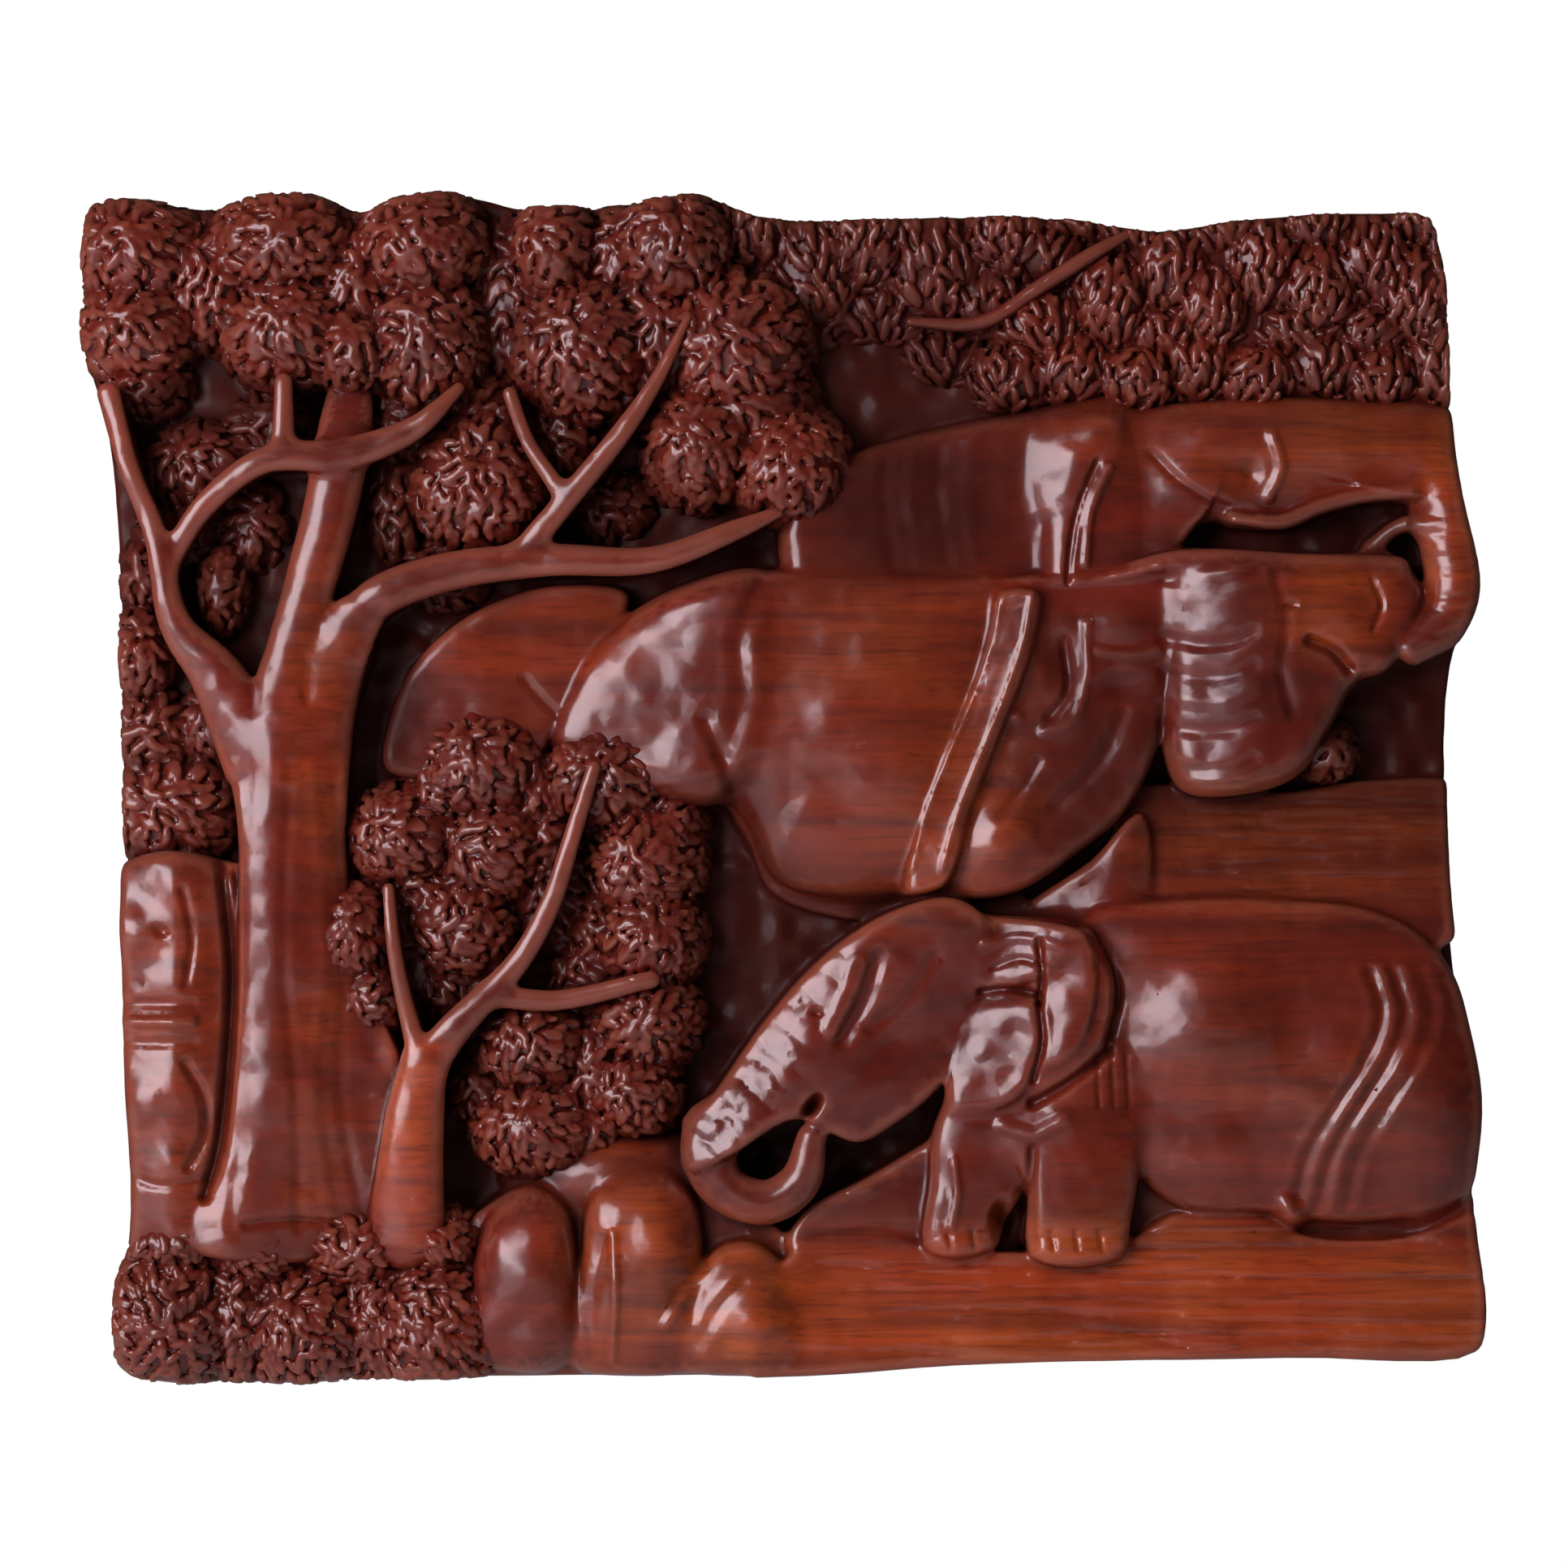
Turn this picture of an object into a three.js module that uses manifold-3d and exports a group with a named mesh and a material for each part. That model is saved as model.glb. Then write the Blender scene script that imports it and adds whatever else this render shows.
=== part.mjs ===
// A carved hardwood wall panel: elephants walking among trees, cut from the front of one block.
// Millimetres, +Z up. The front faces -Y and the flat back lies at Y = 0. The origin is on the
// back, where the panel hangs.
// The relief is laid out on the block's face: x runs right from the left edge, y runs up from the
// bottom edge, and a height is measured forward from the flat back.

import * as THREE from 'three';
import { mergeVertices } from 'three/addons/utils/BufferGeometryUtils.js';
import Module from 'manifold-3d';

const wasm = await Module();
wasm.setup();

// Driving dimensions
const PANEL_WIDTH = 467;
const PANEL_HEIGHT = 397;
const BLOCK_DEPTH = 48;
const FLOOR = 14;
const HANG_BELOW_TOP = 80;
const ROOT = 2;

// Heights of the main layers, measured from the flat back
const HEDGE = 24;
const FAR_ELEPHANT = 27;
const MIDDLE_ELEPHANT = 40;
const YOUNG_ELEPHANT = 46;
const TREE = 41;
const CROWN = 41;
const GROUND = 34;

// Fineness of the faceted forms: subdivisions of a ball, and sides and steps of a limb
const ROUND = 2;
const COARSE = 1;
const PLAIN = 0;
const THIN = 6;
const STOUT = 8;
const STEPS_PER_SPAN = 2;

const toRadians = (degrees) => degrees * Math.PI / 180;

// A closed geometry as a solid, with its faces turned outwards
function toSolid(geometry) {
  geometry.deleteAttribute('normal');
  geometry.deleteAttribute('uv');
  const merged = mergeVertices(geometry, 1e-3);
  const corners = [];
  const index = merged.index.array;
  for (let i = 0; i < index.length; i += 3) {
    const [a, b, c] = [index[i], index[i + 1], index[i + 2]];
    if (a !== b && b !== c && c !== a) corners.push([a, b, c]);
  }
  const at = (i) => new THREE.Vector3().fromBufferAttribute(merged.attributes.position, i);
  const volume = corners.reduce((sum, [a, b, c]) => sum + at(a).dot(at(b).cross(at(c))), 0);
  const outward = volume > 0 ? corners : corners.map(([a, b, c]) => [a, c, b]);
  return new wasm.Manifold(new wasm.Mesh({
    numProp: 3,
    vertProperties: new Float32Array(merged.attributes.position.array),
    triVerts: new Uint32Array(outward.flat()),
  }));
}

// A rounded mass that swells from the floor of the relief to the height front
function mass(x, y, halfWidth, halfHeight, front, tilt = 0, facets = ROUND) {
  const ball = new THREE.IcosahedronGeometry(1, facets);
  ball.scale(halfWidth, halfHeight, front - FLOOR);
  ball.rotateZ(toRadians(tilt));
  ball.translate(x, y, FLOOR);
  return toSolid(ball);
}

// A ball of leaves: a rounded mass whose surface steps in and out, one leaf to the next
function leafBall(x, y, halfWidth, halfHeight, front) {
  const LEAF_STEP = 0.09;
  const ball = new THREE.IcosahedronGeometry(1, COARSE);
  const corner = ball.attributes.position;
  for (let i = 0; i < corner.count; i += 1) {
    const leaf = new THREE.Vector3().fromBufferAttribute(corner, i);
    const wave = Math.sin(9 * leaf.x + x) * Math.cos(8 * leaf.y + y) * Math.sin(7 * leaf.z + x + y);
    leaf.multiplyScalar(1 + LEAF_STEP * Math.sign(wave));
    corner.setXYZ(i, leaf.x, leaf.y, leaf.z);
  }
  ball.scale(halfWidth, halfHeight, front - FLOOR);
  ball.translate(x, y, FLOOR);
  return toSolid(ball);
}

// A tapering limb through stations of [x, y, width, front]. Its front is round, and the wood
// behind it runs straight down into the floor, so that nothing hangs free.
function limb(stations, sides = THIN) {
  const path = new THREE.CatmullRomCurve3(
    stations.map(([x, y, , front]) => new THREE.Vector3(x, y, front)));
  const spans = stations.length - 1;
  const rings = spans * STEPS_PER_SPAN;
  const profile = [new THREE.Vector2(0, 0)];
  for (let ring = 0; ring <= rings; ring += 1) profile.push(new THREE.Vector2(1, ring / rings));
  profile.push(new THREE.Vector2(0, 1));
  const firstSide = sides % 4 === 0 ? Math.PI / sides : 0;
  const tube = new THREE.LatheGeometry(profile, sides, firstSide);
  const corner = tube.attributes.position;
  for (let i = 0; i < corner.count; i += 1) {
    const along = corner.getY(i);
    const span = Math.min(Math.floor(along * spans), spans - 1);
    const width = THREE.MathUtils.lerp(stations[span][2], stations[span + 1][2], along * spans - span);
    const middle = path.getPoint(along);
    const heading = path.getTangent(along);
    const across = new THREE.Vector2(heading.y, -heading.x).normalize();
    const sideways = corner.getX(i) * width / 2;
    const rise = corner.getZ(i);
    const height = rise < -0.01 ? FLOOR - ROOT : middle.z - (1 - rise) * width / 2;
    corner.setXYZ(i, middle.x + across.x * sideways, middle.y + across.y * sideways, height);
  }
  return toSolid(tube);
}

// A closed smooth curve through points of the relief
function closedCurve(outline) {
  const points = outline.map(([x, y]) => new THREE.Vector3(x, y, 0));
  return new THREE.CatmullRomCurve3(points, true, 'centripetal');
}

// A swelling form with a free outline: it rises straight to the height rim at its outline, then
// rounds over towards its middle, where it reaches the height front
function swell(outline, [middleX, middleY], front, rim = FLOOR + 4, steps = 18) {
  const RINGS = [1, 0.93, 0.74, 0.42];
  const profile = [new THREE.Vector2(0, FLOOR - ROOT), new THREE.Vector2(1, FLOOR - ROOT)];
  for (const ring of RINGS) {
    const roundness = (1 - ring ** 3) ** 0.6;
    profile.push(new THREE.Vector2(ring, rim + (front - rim) * roundness));
  }
  profile.push(new THREE.Vector2(0, front));
  const dome = new THREE.LatheGeometry(profile, steps);
  const curve = closedCurve(outline);
  const corner = dome.attributes.position;
  for (let i = 0; i < corner.count; i += 1) {
    const [x, height, z] = [corner.getX(i), corner.getY(i), corner.getZ(i)];
    const ring = Math.hypot(x, z);
    const turn = (Math.atan2(x, z) / (2 * Math.PI) + 1) % 1;
    const edge = curve.getPoint(turn);
    corner.setXYZ(i, middleX + ring * (edge.x - middleX), middleY + ring * (edge.y - middleY), height);
  }
  return toSolid(dome);
}

// A flat-fronted form with a smooth outline. Its height is front at the outline's first point, and
// changes by slope for each millimetre of y.
function plate(outline, front, steps, slope = 0) {
  const points = closedCurve(outline).getPoints(steps).slice(0, -1);
  const shape = new THREE.Shape(points.map(({ x, y }) => new THREE.Vector2(x, y)));
  const slab = new THREE.ExtrudeGeometry(shape, { depth: 1, bevelEnabled: false });
  const corner = slab.attributes.position;
  const base = outline[0][1];
  for (let i = 0; i < corner.count; i += 1) {
    const height = corner.getZ(i) > 0.5 ? front + slope * (corner.getY(i) - base) : FLOOR - ROOT;
    corner.setZ(i, height);
  }
  return toSolid(slab);
}

// The block's outline: nearly straight sides, a lumpy crown of leaves along the top left, and a
// rump and a trunk that swell out on the right
const LEFT_EDGE = [[11, 6], [10, 20], [11, 36], [16, 50], [14, 110], [12, 210], [10, 275], [6, 318],
  [-1, 345], [0, 380]];
const TOP_EDGE = [[3, 393], [22, 394], [43, 392], [60, 396], [78, 396], [93, 391], [106, 395], [122, 397],
  [134, 395], [146, 392], [180, 393], [208, 396], [225, 389], [300, 389], [330, 388], [358, 384], [390, 388],
  [430, 390]];
const RIGHT_EDGE = [[449, 388], [454, 375], [457, 325], [460, 295], [466, 263], [458, 238], [457, 160],
  [460, 130], [466, 95], [464, 60], [467, 20]];
const BOTTOM_EDGE = [[463, 10], [400, 8], [300, 6], [240, 2], [140, 1], [20, 0]];
const OUTLINE = [...LEFT_EDGE, ...TOP_EDGE, ...RIGHT_EDGE, ...BOTTOM_EDGE];

function outlinePrism(depth) {
  const OUTLINE_STEPS = 76;
  const points = closedCurve(OUTLINE).getPoints(OUTLINE_STEPS).slice(0, -1);
  const shape = new THREE.Shape(points.map(({ x, y }) => new THREE.Vector2(x, y)));
  return toSolid(new THREE.ExtrudeGeometry(shape, { depth, bevelEnabled: false }));
}

// The far elephant at the top right, its mouth open and its trunk curling down the right edge
function farElephant() {
  const front = FAR_ELEPHANT;
  const body = [[256, 306], [282, 317], [312, 322], [350, 328], [352, 300], [345, 268], [300, 262],
    [258, 266]];
  const head = [[345, 320], [380, 328], [420, 328], [462, 322], [462, 296], [446, 292], [430, 299],
    [410, 295], [392, 288], [372, 284], [362, 270], [345, 268], [338, 292]];
  return [
    swell(body, [304, 292], front, FLOOR + 5),
    swell(head, [385, 308], front + 5, FLOOR + 6),
    limb([[343, 306, 13, front + 4], [331, 293, 14, front + 6], [321, 272, 14, front + 4]]),
    limb([[436, 312, 24, front + 3], [452, 300, 24, front + 6], [457, 276, 22, front + 9],
      [456, 256, 19, front + 10], [442, 243, 11, front + 9]], STOUT),
    limb([[372, 285, 7, front + 4], [402, 287, 8, front + 6], [431, 297, 8, front + 6],
      [443, 287, 7, front + 5]]),
  ];
}

// The grown elephant in the middle, walking right with its large ear spread
function middleElephant() {
  const front = MIDDLE_ELEPHANT;
  const body = [[160, 226], [170, 244], [186, 257], [206, 266], [235, 271], [280, 270], [312, 266],
    [310, 235], [300, 200], [285, 165], [262, 161], [240, 162], [229, 168], [221, 185], [210, 203],
    [185, 208]];
  const ear = [[308, 266], [303, 240], [294, 214], [283, 190], [274, 163], [290, 160], [312, 163],
    [332, 176], [346, 188], [356, 205], [360, 230], [359, 262], [335, 265]];
  const head = [[361, 268], [378, 274], [408, 273], [440, 272], [448, 260], [440, 242], [424, 232],
    [415, 216], [404, 201], [385, 195], [367, 196], [361, 206], [360, 235]];
  return [
    swell(body, [248, 220], front, FLOOR + 6, 24),
    mass(193, 234, 38, 31, front - 2, 20),
    swell(ear, [325, 220], front - 1, front - 8),
    limb([[309, 265, 9, front + 1], [303, 240, 10, front + 4], [294, 214, 11, front + 4],
      [283, 190, 11, front + 4], [274, 162, 11, front + 1]]),
    limb([[337, 246, 6, front], [334, 219, 7, front + 1], [319, 226, 6, front]]),
    swell(head, [385, 238], front + 1, FLOOR + 8),
    limb([[362, 269, 6, front - 4], [438, 272, 6, front - 5]]),
    limb([[404, 224, 12, front - 7], [417, 213, 8, front - 7], [423, 203, 5, front - 8]]),
    plate([[316, 158], [336, 173], [353, 189], [354, 158]], 30, 10),
  ];
}

// The young elephant in front, walking left with the tip of its trunk curled under
function youngElephant() {
  const front = YOUNG_ELEPHANT;
  const body = [[338, 156], [365, 161], [400, 161], [428, 158], [447, 149], [459, 132], [467, 112],
    [470, 90], [466, 68], [452, 57], [425, 52], [395, 57], [366, 60], [353, 70], [342, 90], [332, 125]];
  const haunch = [[431, 141], [446, 136], [461, 120], [469, 95], [466, 68], [452, 54], [426, 48], [406, 51],
    [405, 64], [411, 82], [422, 102], [430, 120]];
  const head = [[290, 161], [268, 156], [246, 141], [228, 121], [214, 101], [203, 84], [203, 72], [216, 76],
    [238, 88], [258, 80], [272, 87], [285, 98], [294, 115], [300, 135], [302, 152]];
  const ear = [[297, 151], [313, 153], [331, 150], [339, 140], [338, 120], [331, 109], [318, 99], [303, 92],
    [292, 90], [289, 102], [292, 116], [298, 130]];
  return [
    swell(body, [402, 110], front, FLOOR + 8, 24),
    swell(haunch, [438, 92], front + 1, front - 16, 16),
    mass(402, 56, 8, 7, front - 4, 0, COARSE),
    mass(330, 122, 30, 40, front - 2),
    limb([[334, 104, 38, front - 2], [332, 74, 37, front - 1], [331, 43, 35, front - 2]], STOUT),
    limb([[304, 98, 30, front - 4], [298, 72, 26, front - 3], [294, 47, 25, front - 4]], STOUT),
    swell(head, [262, 122], front, FLOOR + 8, 22),
    limb([[257, 139, 6, front - 1], [253, 127, 7, front + 1], [247, 117, 5, front]]),
    limb([[212, 88, 16, front - 2], [207, 73, 13, front - 3], [214, 60, 12, front - 4],
      [229, 57, 12, front - 4], [240, 67, 11, front - 3], [243, 83, 9, front - 2]]),
    swell(ear, [312, 122], front + 2, front - 5),
    limb([[297, 150, 6, front + 1], [329, 151, 7, front + 2], [338, 128, 7, front + 2],
      [326, 105, 6, front]]),
  ];
}

// Parts of two more elephants: a rump behind the trees, and a head and trunk at the left edge
function hiddenElephants() {
  const rump = [[101, 215], [103, 238], [114, 253], [130, 262], [155, 266], [182, 262], [172, 244],
    [158, 222], [150, 205], [115, 200]];
  return [
    swell(rump, [138, 234], FAR_ELEPHANT, FLOOR + 3),
    mass(20, 147, 32, 29, 39),
    limb([[23, 130, 42, 38], [24, 103, 42, 39], [28, 78, 38, 37], [32, 54, 28, 34]], STOUT),
  ];
}

// The tall tree: a trunk that forks into three limbs, and thin branches that cross them
function tallTree() {
  return [
    limb([[68, 48, 66, TREE - 2], [71, 76, 50, TREE], [71, 120, 42, TREE + 1], [70, 170, 38, TREE],
      [68, 212, 34, TREE - 1]], STOUT),
    limb([[60, 206, 24, TREE - 1], [46, 234, 18, TREE - 1], [32, 252, 11, TREE - 1], [26, 280, 8, TREE],
      [17, 303, 7, TREE], [10, 328, 8, TREE - 2]], STOUT),
    limb([[67, 208, 12, TREE - 3], [66, 232, 12, TREE - 3], [75, 260, 16, TREE - 4], [85, 290, 18, TREE - 4],
      [89, 330, 19, TREE - 6]]),
    limb([[73, 205, 28, TREE - 2], [80, 235, 20, TREE - 2], [95, 258, 16, TREE - 2], [122, 270, 13, TREE - 2],
      [155, 273, 11, TREE - 2], [190, 273, 9, TREE - 2], [222, 285, 8, TREE - 3]], STOUT),
    limb([[146, 274, 9, TREE - 2], [162, 293, 9, TREE - 1], [180, 315, 8, TREE], [192, 333, 7, TREE],
      [203, 355, 6, TREE]]),
    limb([[143, 328, 5, TREE - 3], [149, 312, 5, TREE - 3], [158, 298, 6, TREE - 2]]),
    limb([[29, 271, 7, TREE - 1], [42, 291, 8, TREE], [62, 306, 9, TREE], [88, 308, 12, TREE],
      [112, 315, 10, TREE], [128, 330, 8, TREE - 2]]),
    limb([[68, 330, 6, TREE - 2], [68, 309, 7, TREE - 1]]),
  ];
}

// The small tree in front of the grown elephant's hind legs
function smallTree() {
  const bark = TREE + 2;
  return [
    limb([[106, 50, 34, bark - 2], [111, 72, 24, bark], [113, 92, 22, bark + 1],
      [115, 110, 18, bark + 1]], STOUT),
    limb([[114, 104, 14, bark + 1], [126, 120, 12, bark + 1], [148, 142, 10, bark], [159, 162, 8, bark],
      [165, 182, 7, bark], [172, 206, 5, bark]]),
    limb([[138, 129, 8, bark - 1], [158, 127, 8, bark - 1], [190, 134, 7, bark - 1]]),
    limb([[114, 106, 9, bark], [109, 124, 7, bark], [105, 144, 6, bark], [103, 164, 5, bark]]),
  ];
}

// Balls of leaves as [x, y, half width, half height, front]
const CROWN_BALLS = [
  [17, 377, 23, 19, CROWN], [17, 347, 20, 19, CROWN], [68, 378, 27, 20, CROWN + 1],
  [118, 377, 25, 22, CROWN + 2], [72, 346, 27, 21, CROWN + 1], [118, 344, 24, 26, CROWN],
  [167, 377, 22, 19, CROWN - 2],
  [204, 377, 23, 21, CROWN + 1], [166, 342, 26, 27, CROWN], [218, 343, 29, 28, CROWN + 1],
  [207, 309, 22, 24, CROWN - 1], [240, 301, 24, 23, CROWN], [133, 297, 23, 27, CROWN - 5],
  [42, 362, 18, 22, CROWN - 7], [95, 362, 16, 24, CROWN - 6],
  [143, 366, 13, 22, CROWN - 14], [190, 350, 18, 26, CROWN - 6], [38, 304, 17, 12, CROWN - 14],
  [46, 264, 9, 14, CROWN - 9], [18, 242, 12, 15, CROWN - 9], [31, 195, 21, 17, CROWN - 14],
];
const SMALL_TREE_BALLS = [
  [133, 205, 22, 19, CROWN - 1], [175, 201, 22, 20, CROWN - 1], [187, 172, 20, 19, CROWN],
  [189, 147, 18, 18, CROWN], [106, 181, 18, 17, CROWN - 3], [136, 177, 18, 18, CROWN - 3],
  [90, 149, 13, 17, CROWN], [126, 151, 19, 18, CROWN - 3], [95, 126, 12, 11, CROWN - 4],
  [150, 112, 20, 16, CROWN], [150, 84, 22, 18, CROWN], [188, 119, 18, 18, CROWN],
  [184, 96, 15, 14, CROWN - 2],
];
const LOW_BALLS = [
  [29, 21, 25, 27, 45], [72, 17, 22, 22, 44], [118, 18, 26, 26, 45], [31, 46, 16, 12, 41],
  [56, 46, 16, 12, 40], [90, 46, 18, 13, 41], [115, 46, 16, 12, 41],
];

// The hedge along the top right, of upright clumps: a far bank, and a nearer hill at the right
function hedge() {
  const CLUMP_SPACING = 15;
  const farBank = [[216, 394], [218, 356], [250, 350], [300, 350], [345, 356], [370, 394]];
  const nearHill = [[367, 388], [342, 373], [314, 361], [302, 346], [302, 330], [330, 325], [400, 326],
    [462, 324], [464, 394]];
  const rows = [
    { from: 232, to: 340, y: 372, front: HEDGE + 2 },
    { from: 352, to: 456, y: 370, front: HEDGE + 7 },
    { from: 314, to: 456, y: 343, front: HEDGE + 8 },
  ];
  const clumps = rows.flatMap(({ from, to, y, front }) => {
    const count = Math.round((to - from) / CLUMP_SPACING);
    return Array.from({ length: count }, (_, i) => {
      const x = from + i * CLUMP_SPACING;
      return mass(x, y + 3 * Math.sin(x), 9, 17, front + 1, 0, PLAIN);
    });
  });
  return [plate(farBank, HEDGE - 2, 14), plate(nearHill, HEDGE + 3, 20), ...clumps];
}

// Smooth boulders along the bottom
function boulders() {
  const cleft = [[163, 4], [165, 40], [170, 64], [190, 70], [206, 62], [208, 40], [204, 4]];
  return [
    mass(148, 33, 19, 38, 45),
    swell(cleft, [181, 36], 44, 24, 14),
    mass(219, 22, 26, 27, 45),
    mass(178, 71, 32, 14, 30, 0, PLAIN),
  ];
}

// The worn ground that the animals walk on, in front and behind the young elephant
function ground() {
  const near = [[225, -4], [228, 30], [240, 50], [270, 54], [330, 50], [400, 56], [470, 56], [474, -4]];
  const behind = [[348, 150], [350, 198], [400, 201], [464, 197], [464, 150]];
  return [plate(near, GROUND + 7, 24, -0.14), plate(behind, GROUND - 4, 14, -0.16)];
}

const forms = [
  ...farElephant(),
  ...middleElephant(),
  ...youngElephant(),
  ...hiddenElephants(),
  ...tallTree(),
  ...smallTree(),
  ...hedge(),
  ...boulders(),
  ...ground(),
  ...[...CROWN_BALLS, ...SMALL_TREE_BALLS, ...LOW_BALLS].map((ball) => leafBall(...ball)),
];

// Every form is joined to the board, and the whole is cut square to the block's outline
const board = outlinePrism(FLOOR);
const joined = forms.reduce((whole, form) => whole.add(form), board);
const carved = joined.intersect(outlinePrism(BLOCK_DEPTH));

function toGeometry(solid) {
  const { numProp, vertProperties, triVerts } = solid.getMesh();
  const geometry = new THREE.BufferGeometry();
  geometry.setAttribute('position', new THREE.BufferAttribute(vertProperties, numProp));
  geometry.setIndex(new THREE.BufferAttribute(triVerts, 1));
  geometry.computeVertexNormals();
  return geometry;
}

const varnishedWood = new THREE.MeshStandardMaterial({ color: 0x6e2f1f, roughness: 0.28, metalness: 0 });

const carvedPanel = new THREE.Mesh(toGeometry(carved), varnishedWood);
carvedPanel.name = 'carved_panel';
carvedPanel.rotation.x = Math.PI / 2;
carvedPanel.position.set(-PANEL_WIDTH / 2, 0, HANG_BELOW_TOP - PANEL_HEIGHT);

const panel = new THREE.Group();
panel.add(carvedPanel);

export default panel;
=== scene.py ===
"""A carved hardwood wall panel: elephants walking among trees, in deep relief on one block.

The relief is laid out in millimetres on the block's face: x runs right from the left edge, y runs
up from the bottom edge, and a height is measured forward from the flat back. Every form is a field
of signed distances, negative inside the wood. The forms are joined in one grid, which is then
turned into a mesh.
"""

import math

import bpy
import numpy as np
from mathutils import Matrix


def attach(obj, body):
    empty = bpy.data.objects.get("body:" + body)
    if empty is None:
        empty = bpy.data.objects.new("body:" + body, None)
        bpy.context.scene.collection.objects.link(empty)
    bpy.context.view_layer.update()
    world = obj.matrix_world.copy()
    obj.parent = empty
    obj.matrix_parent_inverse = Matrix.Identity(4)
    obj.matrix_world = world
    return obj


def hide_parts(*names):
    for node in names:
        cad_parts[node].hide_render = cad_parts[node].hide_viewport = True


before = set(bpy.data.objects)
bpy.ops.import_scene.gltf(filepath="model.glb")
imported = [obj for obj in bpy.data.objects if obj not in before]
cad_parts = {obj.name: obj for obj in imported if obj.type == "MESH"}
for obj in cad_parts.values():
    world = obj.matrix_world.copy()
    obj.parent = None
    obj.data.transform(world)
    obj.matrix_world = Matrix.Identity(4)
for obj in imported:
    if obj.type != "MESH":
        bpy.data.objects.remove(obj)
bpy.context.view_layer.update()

import openvdb
from mathutils import Vector

# The block in mm, the height of the relief's floor, and the height at which forms are rooted below it
PANEL_WIDTH = 467
PANEL_HEIGHT = 397
BLOCK_DEPTH = 48
FLOOR = 14
ROOT = FLOOR - 6
HANG_BELOW_TOP = 80

# Heights of the main layers, measured from the flat back
BACK = 0
HEDGE = 24
FAR_ELEPHANT = 27
MIDDLE_ELEPHANT = 40
YOUNG_ELEPHANT = 46
TREE = 41
CROWN = 41
GROUND = 34

# Grid steps in mm, and the most triangles that a piece may have
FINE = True
BODY_STEP = 0.75 if FINE else 1.3
LEAF_STEP = 0.62 if FINE else 1.1
BODY_TRIANGLES = 196000 if FINE else 90000
LEAF_TRIANGLES = 190000 if FINE else 90000

# How far the wood stays inside the block's outline, back and front, and how round its rims are, in mm
BODY_INSET = 0.4
LEAF_INSET = 0.6
BACK_INSET = 0.1
FRONT_INSET = 0.3
SIDE_ROUNDING = 3.0
LEAF_ROUNDING = 1.5
BACK_ROUNDING = 1.0
# How far the balls' solid masses lie under the tips of their leaves, at the sides and in front
SIDE_COVER = 1.2
FRONT_COVER = 2.2

# What a grid holds where no form is near, in mm, and the seed of all random draws
FAR = 9.0
SEED = 11


def smooth_min(a, b, blend):
    """The lower of two fields, with a fillet about blend wide where they cross."""
    if blend == 0:
        return np.minimum(a, b)
    near = np.maximum(blend - np.abs(a - b), 0) / blend
    return np.minimum(a, b) - near * near * blend / 4


def smooth_max(a, b, blend):
    return -smooth_min(-a, -b, blend)


def smooth_step(value, low, high):
    share = np.clip((value - low) / (high - low), 0, 1)
    return share * share * (3 - 2 * share)


class Field:
    """Signed distances on an even grid of x, y and height."""

    def __init__(self, low, high, step):
        self.low = np.array(low, float)
        self.step = step
        counts = [int(math.ceil((b - a) / step)) + 1 for a, b in zip(low, high)]
        self.distance = np.full(counts, FAR, np.float32)

    def axis(self, number, first=0, last=None):
        last = self.distance.shape[number] if last is None else last
        return (self.low[number] + self.step * np.arange(first, last)).astype(np.float32)

    def window(self, low, high):
        """The part of the grid between two corners, with its x, y and height."""
        shape = self.distance.shape
        first = [int(np.clip((a - o) // self.step, 0, n)) for a, o, n in zip(low, self.low, shape)]
        last = [int(np.clip((a - o) // self.step + 2, 0, n)) for a, o, n in zip(high, self.low, shape)]
        part = tuple(slice(a, b) for a, b in zip(first, last))
        axes = [self.axis(i, first[i], last[i]) for i in range(3)]
        return part, np.meshgrid(*axes, indexing="ij", sparse=True)

    def join(self, form, blend=0.0):
        """Adds a form, which is (lowest corner, highest corner, distance function)."""
        low, high, shape = form
        margin = blend + 3 * self.step
        part, (x, y, h) = self.window(np.array(low) - margin, np.array(high) + margin)
        if self.distance[part].size:
            self.distance[part] = smooth_min(self.distance[part], shape(x, y, h), blend)

    def top(self):
        """Height of the foremost wood over each grid point of x and y."""
        wood = self.distance < 0
        last = wood.shape[2] - 1 - np.argmax(wood[:, :, ::-1], axis=2)
        return np.where(wood.any(axis=2), self.low[2] + self.step * last, 0)


def smooth_path(stations, closed=False, steps=6):
    """Rows along a smooth curve through the stations, whose first two numbers are x and y."""
    given = np.array(stations, float)
    count = len(given)
    if closed:
        before, after = given[-1:], given[:2]
    else:
        before, after = 2 * given[:1] - given[1:2], 2 * given[-1:] - given[-2:-1]
    padded = np.concatenate([before, given, after])
    share = np.linspace(0, 1, steps, endpoint=False)[:, None]
    rows = []
    for i in range(count if closed else count - 1):
        a, b, c, d = padded[i:i + 4]
        gaps = [max(np.hypot(*(q - p)[:2]) ** 0.5, 1e-3) for p, q in ((a, b), (b, c), (c, d))]
        leave = ((b - a) / gaps[0] - (c - a) / (gaps[0] + gaps[1]) + (c - b) / gaps[1]) * gaps[1]
        arrive = ((c - b) / gaps[1] - (d - b) / (gaps[1] + gaps[2]) + (d - c) / gaps[2]) * gaps[1]
        rows.append(b + leave * share + (3 * (c - b) - 2 * leave - arrive) * share ** 2
                    + (2 * (b - c) + leave + arrive) * share ** 3)
    if not closed:
        rows.append(given[-1:])
    return np.concatenate(rows)


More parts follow.
